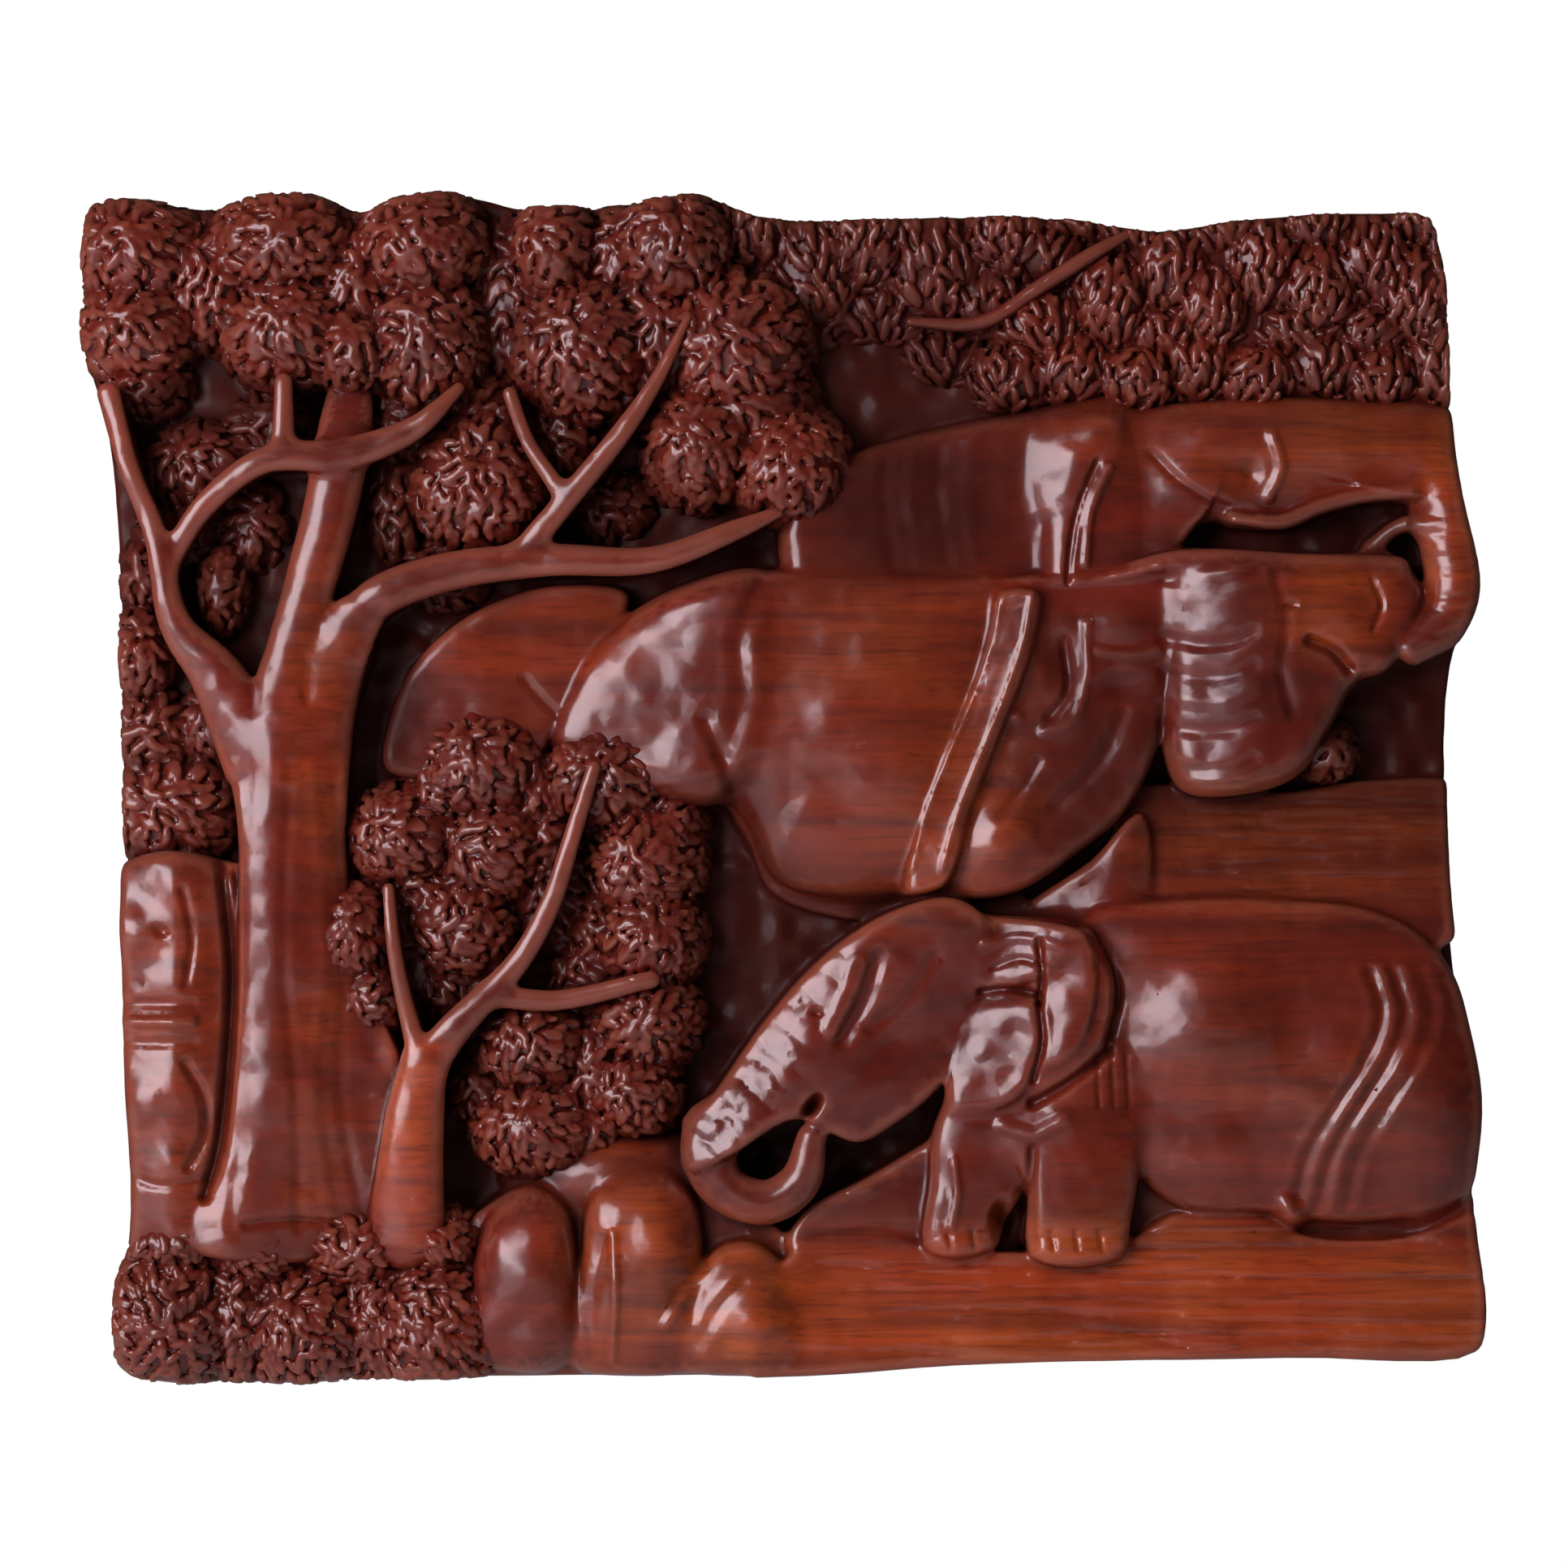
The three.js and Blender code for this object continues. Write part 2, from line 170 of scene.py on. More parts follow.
def outline_distance(edge, x, y):
    """Distance in the plane to a closed outline, negative inside."""
    nearest = np.full(np.broadcast(x, y).shape, np.inf)
    inside = np.zeros(nearest.shape, bool)
    for (ax, ay), (bx, by) in zip(edge, np.roll(edge, -1, axis=0)):
        along_x, along_y = bx - ax, by - ay
        share = ((x - ax) * along_x + (y - ay) * along_y) / (along_x ** 2 + along_y ** 2 + 1e-12)
        share = np.clip(share, 0, 1)
        nearest = np.minimum(nearest, (x - ax - share * along_x) ** 2 + (y - ay - share * along_y) ** 2)
        if ay != by:
            inside ^= ((ay > y) != (by > y)) & (x < ax + (y - ay) * along_x / along_y)
    return (np.where(inside, -1, 1) * np.sqrt(nearest)).astype(np.float32)


def corners(rows, low_height, high_height, margin=0):
    """The lowest and the highest corner of what some rows of x and y span."""
    low, high = rows[:, :2].min(axis=0) - margin, rows[:, :2].max(axis=0) + margin
    return (*low, low_height), (*high, high_height)


def steepness(top, step_x, step_y):
    """How many times longer the surface of a height map is than the plane under it, at most 4."""
    rise_x, rise_y = np.gradient(top, step_x, step_y)
    return np.clip(np.sqrt(1 + rise_x ** 2 + rise_y ** 2), 1, 4)


def under_top(x, y, h, side, top, soft):
    """The field of what lies inside an outline and under a height map, its edge rounded by soft."""
    slope = steepness(top, x[1, 0, 0] - x[0, 0, 0], y[0, 1, 0] - y[0, 0, 0])
    return smooth_max(side[..., None], (h - top[..., None]) / slope[..., None], soft)


def mass(x0, y0, half_width, half_height, front, tilt=0):
    """A rounded mass that swells from the floor of the relief to the height front."""
    radii = (half_width, half_height, front - FLOOR)
    turn = math.radians(tilt)

    def shape(x, y, h):
        along = (x - x0) * math.cos(turn) + (y - y0) * math.sin(turn)
        across = (y - y0) * math.cos(turn) - (x - x0) * math.sin(turn)
        return ellipsoid((along, across, h - FLOOR), radii)

    reach = max(half_width, half_height)
    return (x0 - reach, y0 - reach, ROOT), (x0 + reach, y0 + reach, front), shape


def ellipsoid(offsets, radii):
    scaled = sum((p / r) ** 2 for p, r in zip(offsets, radii)) ** 0.5
    slope = sum((p / r ** 2) ** 2 for p, r in zip(offsets, radii)) ** 0.5
    return scaled * (scaled - 1) / (slope + 1e-6)


def swell(outline, middle, front, rim=FLOOR + 4, soft=4.0, flatness=3.0):
    """A form with a free outline that rounds over towards its middle."""
    edge = smooth_path(outline, closed=True)
    turn = np.arctan2(edge[:, 1] - middle[1], edge[:, 0] - middle[0])
    reach = np.hypot(edge[:, 0] - middle[0], edge[:, 1] - middle[1])

    def shape(x, y, h):
        x_flat, y_flat = x[..., 0], y[..., 0]
        side = outline_distance(edge, x_flat, y_flat)
        heading = np.arctan2(y_flat - middle[1], x_flat - middle[0])
        limit = np.interp(heading, *sorted_by(turn, reach), period=2 * math.pi)
        share = np.minimum(np.hypot(x_flat - middle[0], y_flat - middle[1]) / limit, 1)
        top = rim + (front - rim) * (1 - share ** flatness) ** 0.5
        return under_top(x, y, h, side, top, soft)

    return *corners(edge, ROOT, front), shape


def sorted_by(keys, values):
    order = np.argsort(keys)
    return keys[order], values[order]


def plate(outline, front, slope=0.0, soft=2.5):
    """A flat-fronted form: its height is front at the outline's first point, and changes with y."""
    edge = smooth_path(outline, closed=True)
    base = outline[0][1]

    def shape(x, y, h):
        side = outline_distance(edge, x[..., 0], y[..., 0])
        top = np.broadcast_to(front + slope * (y[..., 0] - base), side.shape)
        return under_top(x, y, h, side, top, soft)

    return *corners(edge, ROOT, max(front, front + slope * np.ptp(edge[:, 1])) + 4), shape


def ridged(outline, ridge, front, left_slope, right_slope, soft=3.0, rounding=4.0, drop=0.0, rim=16.0):
    """A form like a roof, which falls away left and right of a ridge that runs up the panel.

    Within rim of its outline it also rounds down by drop.
    """
    edge = smooth_path(outline, closed=True)
    rows = smooth_path([(x, y, 0, 0) for x, y in ridge])
    order = np.argsort(rows[:, 1])

    def shape(x, y, h):
        x_flat, y_flat = x[..., 0], y[..., 0]
        side = outline_distance(edge, x_flat, y_flat)
        away, _, _ = nearest_on_path(rows, x_flat, y_flat)
        on_left = x_flat < np.interp(y_flat, rows[order, 1], rows[order, 0])
        fall = (np.hypot(away, rounding) - rounding) * np.where(on_left, left_slope, right_slope)
        fall = fall + drop * np.clip(1 + side / rim, 0, 1) ** 2
        return under_top(x, y, h, side, np.maximum(front - fall, FLOOR), soft)

    return *corners(edge, ROOT, front), shape


def limb(base, stations, undercut=0.3, flat=1.0):
    """A tapering limb through stations of [x, y, width, rise], its front at base plus the rise.

    Its wood is narrower below its sides by undercut. Its front is round where flat is 1, and flatter
    below that.
    """
    cap = 4.0
    rows = smooth_path([(x, y, width, base + rise) for x, y, width, rise in stations])

    def shape(x, y, h):
        away, radius, front = nearest_on_path(rows, x[..., 0], y[..., 0], cap)
        centre = (front - radius * flat)[..., None]
        away, radius = away[..., None], radius[..., None]
        depth = np.clip((centre - h) / radius, 0, 1)
        return np.where(h > centre, np.hypot(away, (h - centre) / flat) - radius,
                        away - radius * (1 - undercut * depth))

    widest = rows[:, 2].max() / 2
    return *corners(rows, ROOT, rows[:, 3].max(), widest), shape


def nearest_on_path(rows, x, y, cap=math.inf):
    """Distance in the plane from a path of [x, y, width, front], and the radius and front there.

    Beyond its two ends the distance counts up faster where the radius is over cap, so a wide end is
    blunt.
    """
    best = np.full(np.broadcast(x, y).shape, np.inf)
    found = [best.copy(), best.copy(), best.copy()]
    for i, (a, b) in enumerate(zip(rows[:-1], rows[1:])):
        along_x, along_y = b[0] - a[0], b[1] - a[1]
        length = math.hypot(along_x, along_y) + 1e-9
        passed = ((x - a[0]) * along_x + (y - a[1]) * along_y) / length
        aside = np.abs((x - a[0]) * along_y - (y - a[1]) * along_x) / length
        share = np.clip(passed / length, 0, 1)
        radius = (a[2] + (b[2] - a[2]) * share) / 2
        over = np.maximum(-passed, 0) + np.maximum(passed - length, 0)
        if i == 0:
            over = np.where(passed < 0, over * np.maximum(radius / cap, 1), over)
        if i == len(rows) - 2:
            over = np.where(passed > length, over * np.maximum(radius / cap, 1), over)
        away = np.hypot(aside, over)
        nearer = away - radius < best
        best = np.where(nearer, away - radius, best)
        values = (away, radius, a[3] + (b[3] - a[3]) * share)
        found = [np.where(nearer, value, old) for value, old in zip(values, found)]
    return found


# The block's outline: nearly straight sides, a lumpy crown of leaves along the top left, and a
# rump and a trunk that swell out on the right
LEFT_EDGE = [(11, 6), (10, 20), (11, 36), (16, 50), (14, 110), (12, 210), (10, 275), (6, 318),
             (-1, 345), (0, 380)]
TOP_EDGE = [(3, 393), (22, 394), (43, 392), (60, 396), (78, 396), (93, 391), (106, 395), (122, 397),
            (134, 395), (146, 392), (180, 393), (208, 396), (225, 389), (300, 389), (330, 388),
            (358, 384), (390, 388), (430, 390)]
RIGHT_EDGE = [(449, 388), (454, 375), (457, 325), (460, 295), (466, 263), (458, 238), (457, 160),
              (460, 130), (466, 95), (464, 60), (467, 20)]
BOTTOM_EDGE = [(463, 10), (400, 8), (300, 6), (240, 2), (140, 1), (20, 0)]
OUTLINE = smooth_path(LEFT_EDGE + TOP_EDGE + RIGHT_EDGE + BOTTOM_EDGE, closed=True)


def far_elephant():
    """The elephant at the top right, its mouth open and its trunk curling down the right edge."""
    front = FAR_ELEPHANT
    body = [(236, 300), (258, 310), (282, 317), (312, 323), (350, 328), (352, 300), (345, 268), (300, 262),
            (236, 264)]
    cheek = [(316, 314), (324, 320), (346, 322), (352, 300), (348, 264), (322, 264), (319, 284), (315, 300)]
    head = [(345, 320), (380, 328), (420, 328), (462, 322), (462, 296), (446, 294), (430, 296),
            (412, 290), (392, 286), (372, 284), (362, 270), (345, 268), (338, 292)]
    return [
        ridged(body, [(330, 262), (332, 300), (332, 325)], front, -0.03, 0.1, 5.0, 10.0, 4.0, 8.0),
        ridged(cheek, [(326, 260), (328, 282), (333, 298), (338, 318)], front + 7, 0.34, 0.25, 4.0, 4.0,
               3.0, 8.0),
        swell(head, (385, 308), front + 5, FLOOR + 8, flatness=2.2),
        mass(418, 312, 28, 14, front + 5),
        limb(front, [(436, 312, 24, 3), (452, 300, 24, 6), (457, 276, 22, 9), (456, 256, 19, 10),
                     (442, 243, 11, 9)], 0.2),
        limb(front, [(384, 287, 4, 5), (400, 286, 5, 6), (412, 291, 5, 6), (428, 295, 5, 6),
                     (442, 296, 5, 6)], 0),
        limb(front, [(370, 274, 6, 0), (400, 271, 6, 1), (434, 273, 6, 1)], 0),
        limb(front, [(430, 278, 5, 1), (440, 285, 5, 4), (447, 284, 5, 5)], 0),
    ]


def middle_elephant():
    """The grown elephant in the middle, walking right with its large ear spread."""
    front = MIDDLE_ELEPHANT
    body = [(157, 212), (161, 229), (171, 245), (186, 257), (206, 266), (235, 271), (280, 270),
            (312, 266), (310, 235), (300, 200), (285, 165), (262, 161), (240, 162), (229, 168),
            (221, 185), (208, 198), (180, 198)]
    rump = [(156, 210), (160, 226), (169, 242), (182, 254), (200, 264), (226, 269), (232, 240),
            (226, 206), (212, 192), (188, 194), (166, 200)]
    ear = [(308, 266), (303, 240), (294, 214), (283, 190), (274, 163), (290, 160), (312, 163),
           (332, 176), (346, 188), (356, 205), (360, 230), (362, 268), (335, 268)]
    ribbon = [(306, 262), (318, 262), (317, 248), (312, 232), (303, 210), (295, 190), (287, 165),
              (275, 163), (281, 188), (289, 210), (298, 232), (303, 250)]
    head = [(361, 268), (378, 274), (408, 273), (440, 272), (448, 260), (440, 242), (424, 232),
            (415, 216), (404, 201), (385, 195), (367, 196), (361, 206), (360, 235)]
    foreleg = [(316, 158), (336, 173), (353, 189), (354, 158)]
    return [
        swell(body, (256, 218), front - 2, FLOOR + 13, 6.0, 2.6),
        ridged(rump, [(214, 192), (217, 235), (212, 270)], front - 1, 0.25, 0.22, 7.0, 14.0, 5.0, 12.0),
        mass(262, 214, 52, 58, front + 1, 8),
        swell(ear, (328, 218), front - 4, front - 8, flatness=2.0),
        mass(344, 252, 18, 12, front - 2),
        mass(306, 182, 16, 22, front - 1, -25),
        ridged(ribbon, [(286, 160), (294, 190), (302, 210), (311, 232), (317, 262)], front, 0.16, 0.3),
        ridged(head, [(384, 194), (387, 215), (387, 240), (384, 274)], front + 3, 0.33, 0.16, 5.0, 6.0,
               4.0, 9.0),
        mass(416, 258, 20, 14, front),
        limb(front, [(422, 250, 14, -3), (431, 240, 11, -4)], 0),
        limb(front, [(340, 268, 4, -8), (366, 273, 7, -3), (400, 272, 6, -3), (438, 271, 6, -5)], 0),
        ridged(foreleg, [(344, 156), (346, 190)], 32, 0.3, 0.3),
    ]


def young_elephant():
    """The young elephant in front, walking left with the tip of its trunk curled under."""
    front = YOUNG_ELEPHANT
    body = [(334, 156), (365, 161), (400, 161), (428, 158), (447, 149), (459, 132), (467, 112),
            (470, 90), (466, 68), (452, 57), (425, 52), (395, 55), (366, 57), (353, 66), (342, 90),
            (332, 125)]
    head = [(290, 161), (268, 156), (246, 141), (228, 121), (214, 101), (203, 84), (203, 72), (216, 76),
            (238, 88), (258, 80), (272, 87), (285, 98), (294, 115), (300, 135), (302, 152)]
    ear = [(297, 151), (313, 153), (331, 150), (339, 140), (338, 120), (331, 109), (318, 99), (303, 92),
           (292, 90), (289, 102), (292, 116), (298, 130)]
    near_leg = [(316, 42), (314, 66), (302, 84), (304, 104), (330, 118), (352, 104), (352, 74), (349, 54),
                (346, 42)]
    far_leg = [(281, 44), (282, 66), (284, 86), (292, 98), (318, 96), (316, 70), (308, 54), (303, 44)]
    top_fold = [(296, 152), (314, 154), (332, 149), (324, 139), (312, 133), (300, 131)]
    right_fold = [(319, 147), (333, 148), (337, 130), (330, 110), (320, 106), (317, 122)]
    lobe = [(290, 91), (289, 106), (294, 120), (304, 127), (317, 126), (319, 110), (312, 96), (301, 91)]
    return [
        swell(body, (402, 108), front - 4, FLOOR + 17, flatness=2.8),
        mass(377, 118, 39, 44, front + 1),
        mass(420, 102, 44, 48, front - 1),
        mass(441, 96, 29, 50, front, 8),
        mass(402, 58, 7, 9, front - 5, 30),
        mass(328, 122, 30, 40, front - 4),
        ridged(near_leg, [(326, 40), (328, 70), (326, 100)], front - 1, 0.3, 0.35, 5.0, 8.0),
        ridged(far_leg, [(290, 40), (292, 70), (300, 100)], front - 5, 0.3, 0.3, 5.0, 6.0),
        ridged(head, [(214, 70), (224, 90), (242, 112), (258, 138), (276, 160)], front + 1, 0.42, 0.2),
        limb(front, [(210, 86, 20, -3), (209, 74, 18, -3), (215, 64, 16, -4), (228, 60, 15, -4),
                     (239, 67, 14, -4), (243, 82, 10, -3)]),
        mass(262, 98, 22, 13, front - 5, 40),
        swell(ear, (314, 122), front - 5, front - 11, flatness=2.0),
        ridged(top_fold, [(326, 124), (336, 156)], front + 2, 0.3, 0.3, 3.0),
        ridged(right_fold, [(327, 102), (335, 128), (338, 150)], front + 2, 0.36, 0.4, 3.0),
        ridged(lobe, [(308, 86), (317, 108), (322, 130)], front + 1, 0.33, 0.4, 3.0, 3.0, 1.0, 5.0),
        limb(front, [(334, 148, 5, -2), (340, 134, 6, -1), (338, 118, 6, -1), (330, 106, 5, -2)], 0),
    ]


def hidden_elephants():
    """Parts of two more: a rump behind the trees, and a head and trunk at the left edge."""
    rump = [(101, 204), (103, 222), (111, 239), (123, 251), (139, 260), (158, 265), (182, 262),
            (172, 240), (158, 218), (150, 205), (115, 200)]
    flank = [(8, 48), (8, 90), (4, 130), (6, 166), (24, 176), (44, 174), (54, 165), (56, 120), (54, 88),
             (50, 48)]
    return [
        ridged(rump, [(128, 198), (130, 240), (128, 268)], FAR_ELEPHANT + 2, -0.06, 0.08, 4.0, 20.0),
        ridged(flank, [(31, 46), (32, 90), (33, 122), (32, 178)], 41, 0.4, 0.4, 4.0, 4.0, 3.0, 10.0),
        mass(20, 150, 22, 18, 41),
        mass(24, 92, 15, 18, 40),
    ]


def branch(bark, stations):
    """A limb with a flattish front, as the thin branches have."""
    return limb(bark, stations, 0.2, 0.62)


def tall_tree():
    """A trunk that forks into three limbs, and thin branches that cross them."""
    trunk = [(34, 46), (47, 72), (52, 110), (53, 150), (52, 190), (44, 218), (38, 238), (48, 240), (58, 222),
             (62, 240), (73, 240), (76, 226), (86, 246), (97, 248), (90, 220), (88, 180), (92, 140),
             (97, 110), (102, 80), (106, 46)]
    return [
        ridged(trunk, [(50, 46), (61, 85), (65, 120), (64, 165), (66, 218)], TREE + 1, 0.36, 0.4, 4.0, 6.0),
        branch(TREE, [(60, 206, 24, -1), (46, 234, 18, -1), (32, 252, 11, -1), (26, 280, 8, 0),
                      (17, 303, 7, 0), (10, 328, 8, -2)]),
        branch(TREE, [(66, 200, 14, 0), (67, 232, 15, -2), (75, 260, 17, -3), (83, 290, 18, -4),
                      (88, 318, 18, -6), (89, 329, 15, -11)]),
        limb(TREE, [(70, 190, 34, -5), (79, 230, 27, -4), (93, 255, 16, -3)], 0.2, 0.25),
        branch(TREE, [(88, 250, 14, -5), (100, 261, 14, -2), (122, 269, 13, -2), (155, 273, 11, -2),
                      (190, 273, 9, -2), (218, 283, 7, -3), (232, 289, 4, -6)]),
        branch(TREE, [(146, 274, 9, -2), (162, 293, 8, -1), (180, 315, 7, 0), (192, 333, 5, 0),
                      (202, 353, 3, -2)]),
        branch(TREE, [(143, 328, 5, -3), (149, 312, 5, -3), (158, 298, 6, -2)]),
        branch(TREE, [(29, 271, 7, -1), (42, 291, 8, 0), (62, 306, 9, 0), (88, 308, 11, -1),
                      (112, 317, 8, -1), (126, 330, 4, -5)]),
        branch(TREE, [(68, 332, 6, -2), (68, 309, 8, -1)]),
    ]


def small_tree():
    """The small tree in front of the grown elephant's hind legs."""
    bark = TREE + 2
    return [
        branch(bark, [(108, 46, 27, -2), (110, 72, 22, 0), (112, 92, 19, 1), (115, 108, 15, 1)]),
        branch(bark, [(114, 104, 14, 1), (126, 119, 11, 1), (146, 140, 8, 0), (157, 160, 7, 0),
                      (164, 182, 6, 0), (171, 204, 5, 0)]),
        branch(bark, [(136, 129, 8, -1), (158, 127, 7, -1), (190, 134, 6, -1)]),
        branch(bark, [(114, 106, 8, 0), (109, 124, 6, 0), (105, 144, 5, 0), (103, 164, 4, 0)]),
    ]


def hills():
    """Banks behind the hedge, and the line of the near one's brow."""
    far_bank = [(216, 394), (218, 362), (250, 358), (300, 352), (345, 356), (370, 394)]
    near_bank = [(367, 388), (342, 373), (322, 361), (312, 346), (312, 334), (340, 331), (400, 332),
                 (462, 330), (464, 394)]
    brow = [(276, 353, 3, 1), (300, 353, 5, 2), (320, 365, 5, 5), (336, 375, 5, 5), (350, 383, 3, 2)]
    return [plate(far_bank, HEDGE - 6, 0, 4.0), plate(near_bank, HEDGE - 2, 0, 4.0), limb(HEDGE, brow, 0)]


def boulders():
    """Smooth boulders along the bottom."""
    first = [(128, 6), (128, 34), (136, 58), (150, 67), (162, 60), (167, 34), (165, 6)]
    cleft = [(163, 4), (165, 40), (170, 64), (190, 72), (204, 64), (208, 40), (206, 4)]
    last = [(199, 4), (200, 30), (212, 46), (226, 47), (239, 32), (243, 4)]
    return [
        swell(first, (150, 36), 45, 24, flatness=2),
        mass(152, 18, 18, 17, 44, 20),
        swell(cleft, (186, 36), 43, 28, flatness=2),
        mass(192, 44, 16, 26, 44, 8),
        swell(last, (218, 22), 44, 28, flatness=2),
        mass(224, 20, 16, 24, 45),
        mass(178, 68, 40, 16, 32),
    ]


def ground():
    """The worn ground that the animals walk on, in front and behind the young elephant."""
    near = [(225, -4), (228, 30), (238, 44), (262, 49), (290, 44), (312, 43), (330, 41), (348, 47),
            (365, 56), (392, 55), (410, 48), (440, 48), (470, 56), (474, -4)]
    behind = [(348, 150), (350, 196), (372, 198), (400, 196), (430, 200), (464, 197), (464, 150)]
    return [plate(near, GROUND + 7, -0.14), plate(behind, GROUND - 4, -0.16)]


def banks():
    """Wood left standing at half height between the larger forms."""
    under_head = [(236, 44), (240, 56), (262, 68), (290, 84), (312, 92), (330, 60), (300, 40)]
    under_belly = [(340, 46), (345, 66), (362, 64), (408, 62), (470, 60), (470, 46)]
    beside_trunk = [(80, 46), (80, 112), (88, 132), (102, 118), (116, 60), (112, 46)]
    by_left_edge = [(36, 46), (40, 110), (40, 170), (56, 170), (58, 46)]
    between_boulders = [(126, 2), (128, 52), (160, 66), (210, 66), (240, 40), (246, 2)]
    behind_body = [(230, 162), (225, 180), (245, 200), (300, 175), (320, 150), (280, 150)]
    return [
        ridged(under_head, [(282, 40), (284, 70), (300, 92)], 31, -0.05, 0.2),
        plate(under_belly, 29),
        plate(beside_trunk, 33),
        plate(by_left_edge, 30),
        plate(between_boulders, 28),
        plate(behind_body, 22),
    ]


def balls_on(layer, rows):
    """Balls of leaves as (x, y, half width, half height, front), their fronts counted from a layer."""
    return [(*row[:4], layer + row[4]) for row in rows]


CROWN_BALLS = balls_on(CROWN, [
    (17, 377, 25, 20, 0), (17, 350, 22, 19, 0), (66, 379, 26, 20, 1), (113, 379, 23, 21, 2),
    (68, 350, 25, 21, 1), (114, 347, 22, 26, 0), (157, 378, 15, 20, -2), (196, 378, 21, 21, 1),
    (166, 344, 25, 26, 0), (217, 345, 28, 27, 1), (205, 312, 20, 23, 0), (236, 305, 22, 22, 0),
    (132, 299, 24, 26, -4), (42, 366, 20, 24, -7), (91, 364, 16, 26, -7), (143, 362, 14, 28, -15),
    (178, 376, 12, 18, -10), (191, 350, 18, 28, -8), (222, 326, 24, 22, -6), (20, 332, 16, 12, -10),
    (90, 344, 15, 17, -1),
])
BACK_BALLS = balls_on(BACK, [
    (38, 304, 20, 16, 27), (46, 264, 9, 16, 30), (56, 286, 12, 16, 25), (415, 210, 11, 11, 33),
    (30, 282, 14, 12, 25), (18, 242, 13, 17, 31), (20, 268, 10, 13, 27), (29, 190, 24, 21, 32),
    (22, 216, 16, 15, 29), (42, 218, 12, 14, 28), (62, 318, 16, 12, 24), (106, 318, 14, 12, 25),
    (104, 292, 10, 20, 24), (132, 322, 18, 14, 26), (158, 312, 14, 18, 25), (182, 338, 14, 18, 28),
    (120, 268, 16, 12, 25), (176, 292, 14, 12, 23),
])
SMALL_TREE_BALLS = balls_on(CROWN, [
    (133, 205, 23, 20, -1), (175, 201, 23, 21, -1), (187, 172, 22, 21, 0), (189, 147, 20, 20, 0),
    (106, 181, 20, 19, -3), (136, 177, 20, 20, -3), (90, 149, 15, 19, 0), (126, 151, 20, 20, -3),
    (96, 127, 15, 14, -4), (150, 112, 21, 17, 0), (151, 84, 23, 18, 0), (188, 120, 20, 19, 0),
    (184, 96, 17, 16, -2), (150, 196, 14, 16, -10), (158, 162, 14, 22, -12), (112, 160, 16, 18, -9),
    (120, 132, 15, 15, -13), (168, 132, 16, 18, -12), (170, 104, 14, 22, -8), (196, 186, 13, 13, -8),
    (170, 84, 12, 14, -9), (140, 132, 15, 14, -12), (110, 140, 16, 18, -12), (155, 180, 14, 18, -11),
    (172, 150, 14, 20, -11), (120, 196, 14, 14, -8), (132, 96, 11, 14, -14),
])
LOW_BALLS = balls_on(BACK, [
    (29, 21, 25, 27, 45), (74, 17, 24, 23, 44), (118, 18, 27, 27, 45), (31, 46, 19, 14, 41),
    (58, 44, 19, 15, 40), (92, 44, 21, 15, 41), (118, 46, 17, 13, 41), (52, 22, 14, 26, 38),
    (97, 20, 14, 24, 38),
])
HEDGE_BALLS = balls_on(HEDGE, [
    (224, 386, 14, 16, 2), (245, 372, 17, 22, 2), (262, 382, 14, 20, 4), (284, 373, 17, 23, 3),
    (308, 383, 15, 17, 4), (334, 389, 14, 10, 2), (303, 361, 16, 13, 1), (270, 357, 20, 11, -2),
    (240, 353, 16, 10, -5), (288, 342, 14, 10, -3), (320, 352, 17, 14, 4), (343, 361, 15, 19, 6),
    (363, 371, 14, 18, 6), (376, 358, 14, 17, 7), (394, 372, 15, 19, 6), (412, 363, 15, 19, 7),
    (431, 374, 15, 18, 5), (446, 361, 16, 20, 7), (459, 378, 12, 18, 4), (310, 335, 15, 13, 3),
    (330, 338, 14, 14, 5), (352, 334, 15, 13, 6), (373, 339, 14, 14, 5), (392, 334, 15, 13, 7),
    (415, 339, 16, 14, 5), (433, 334, 14, 13, 6), (453, 339, 13, 17, 6), (404, 350, 15, 10, 4),
    (362, 350, 15, 10, 4), (430, 350, 15, 10, 4), (458, 355, 10, 14, 3), (381, 385, 14, 12, 4),
    (412, 386, 14, 12, 4), (447, 388, 14, 12, 4), (322, 376, 13, 12, 2), (350, 384, 12, 10, 3),
])

# How leaves are cut, in mm and degrees: cover is their area over the ball's, and fan_from the point
# that they point away from, in the ball's radii
LEAF_CUT = {"length": 7.4, "width": 3.4, "thickness": 2.5, "cover": 1.75, "lift": 14,
            "fan_from": (-0.25, 0.3, 1.0), "scatter": 0.45}
CHIP_CUT = {"length": 8.6, "width": 3.2, "thickness": 2.6, "cover": 1.5, "lift": 10,
            "fan_from": (0.0, -1.5, 0.2), "scatter": 0.3}


def leaf(centre, along, facing, length, width, thickness):
    """A leaf as a pointed lens, with its length along one direction and its face another."""
    across = np.cross(facing, along)
    half = (length / 2, width / 2, thickness / 2)

    def shape(x, y, h):
        offset = (x - centre[0], y - centre[1], h - centre[2])
        turned = [sum(p * d for p, d in zip(offset, way)) for way in (along, across, facing)]
        return ellipsoid(turned, half)

    reach = length / 2
    return centre - reach, centre + reach, shape


def unit(vector):
    return vector / (np.linalg.norm(vector) + 1e-9)


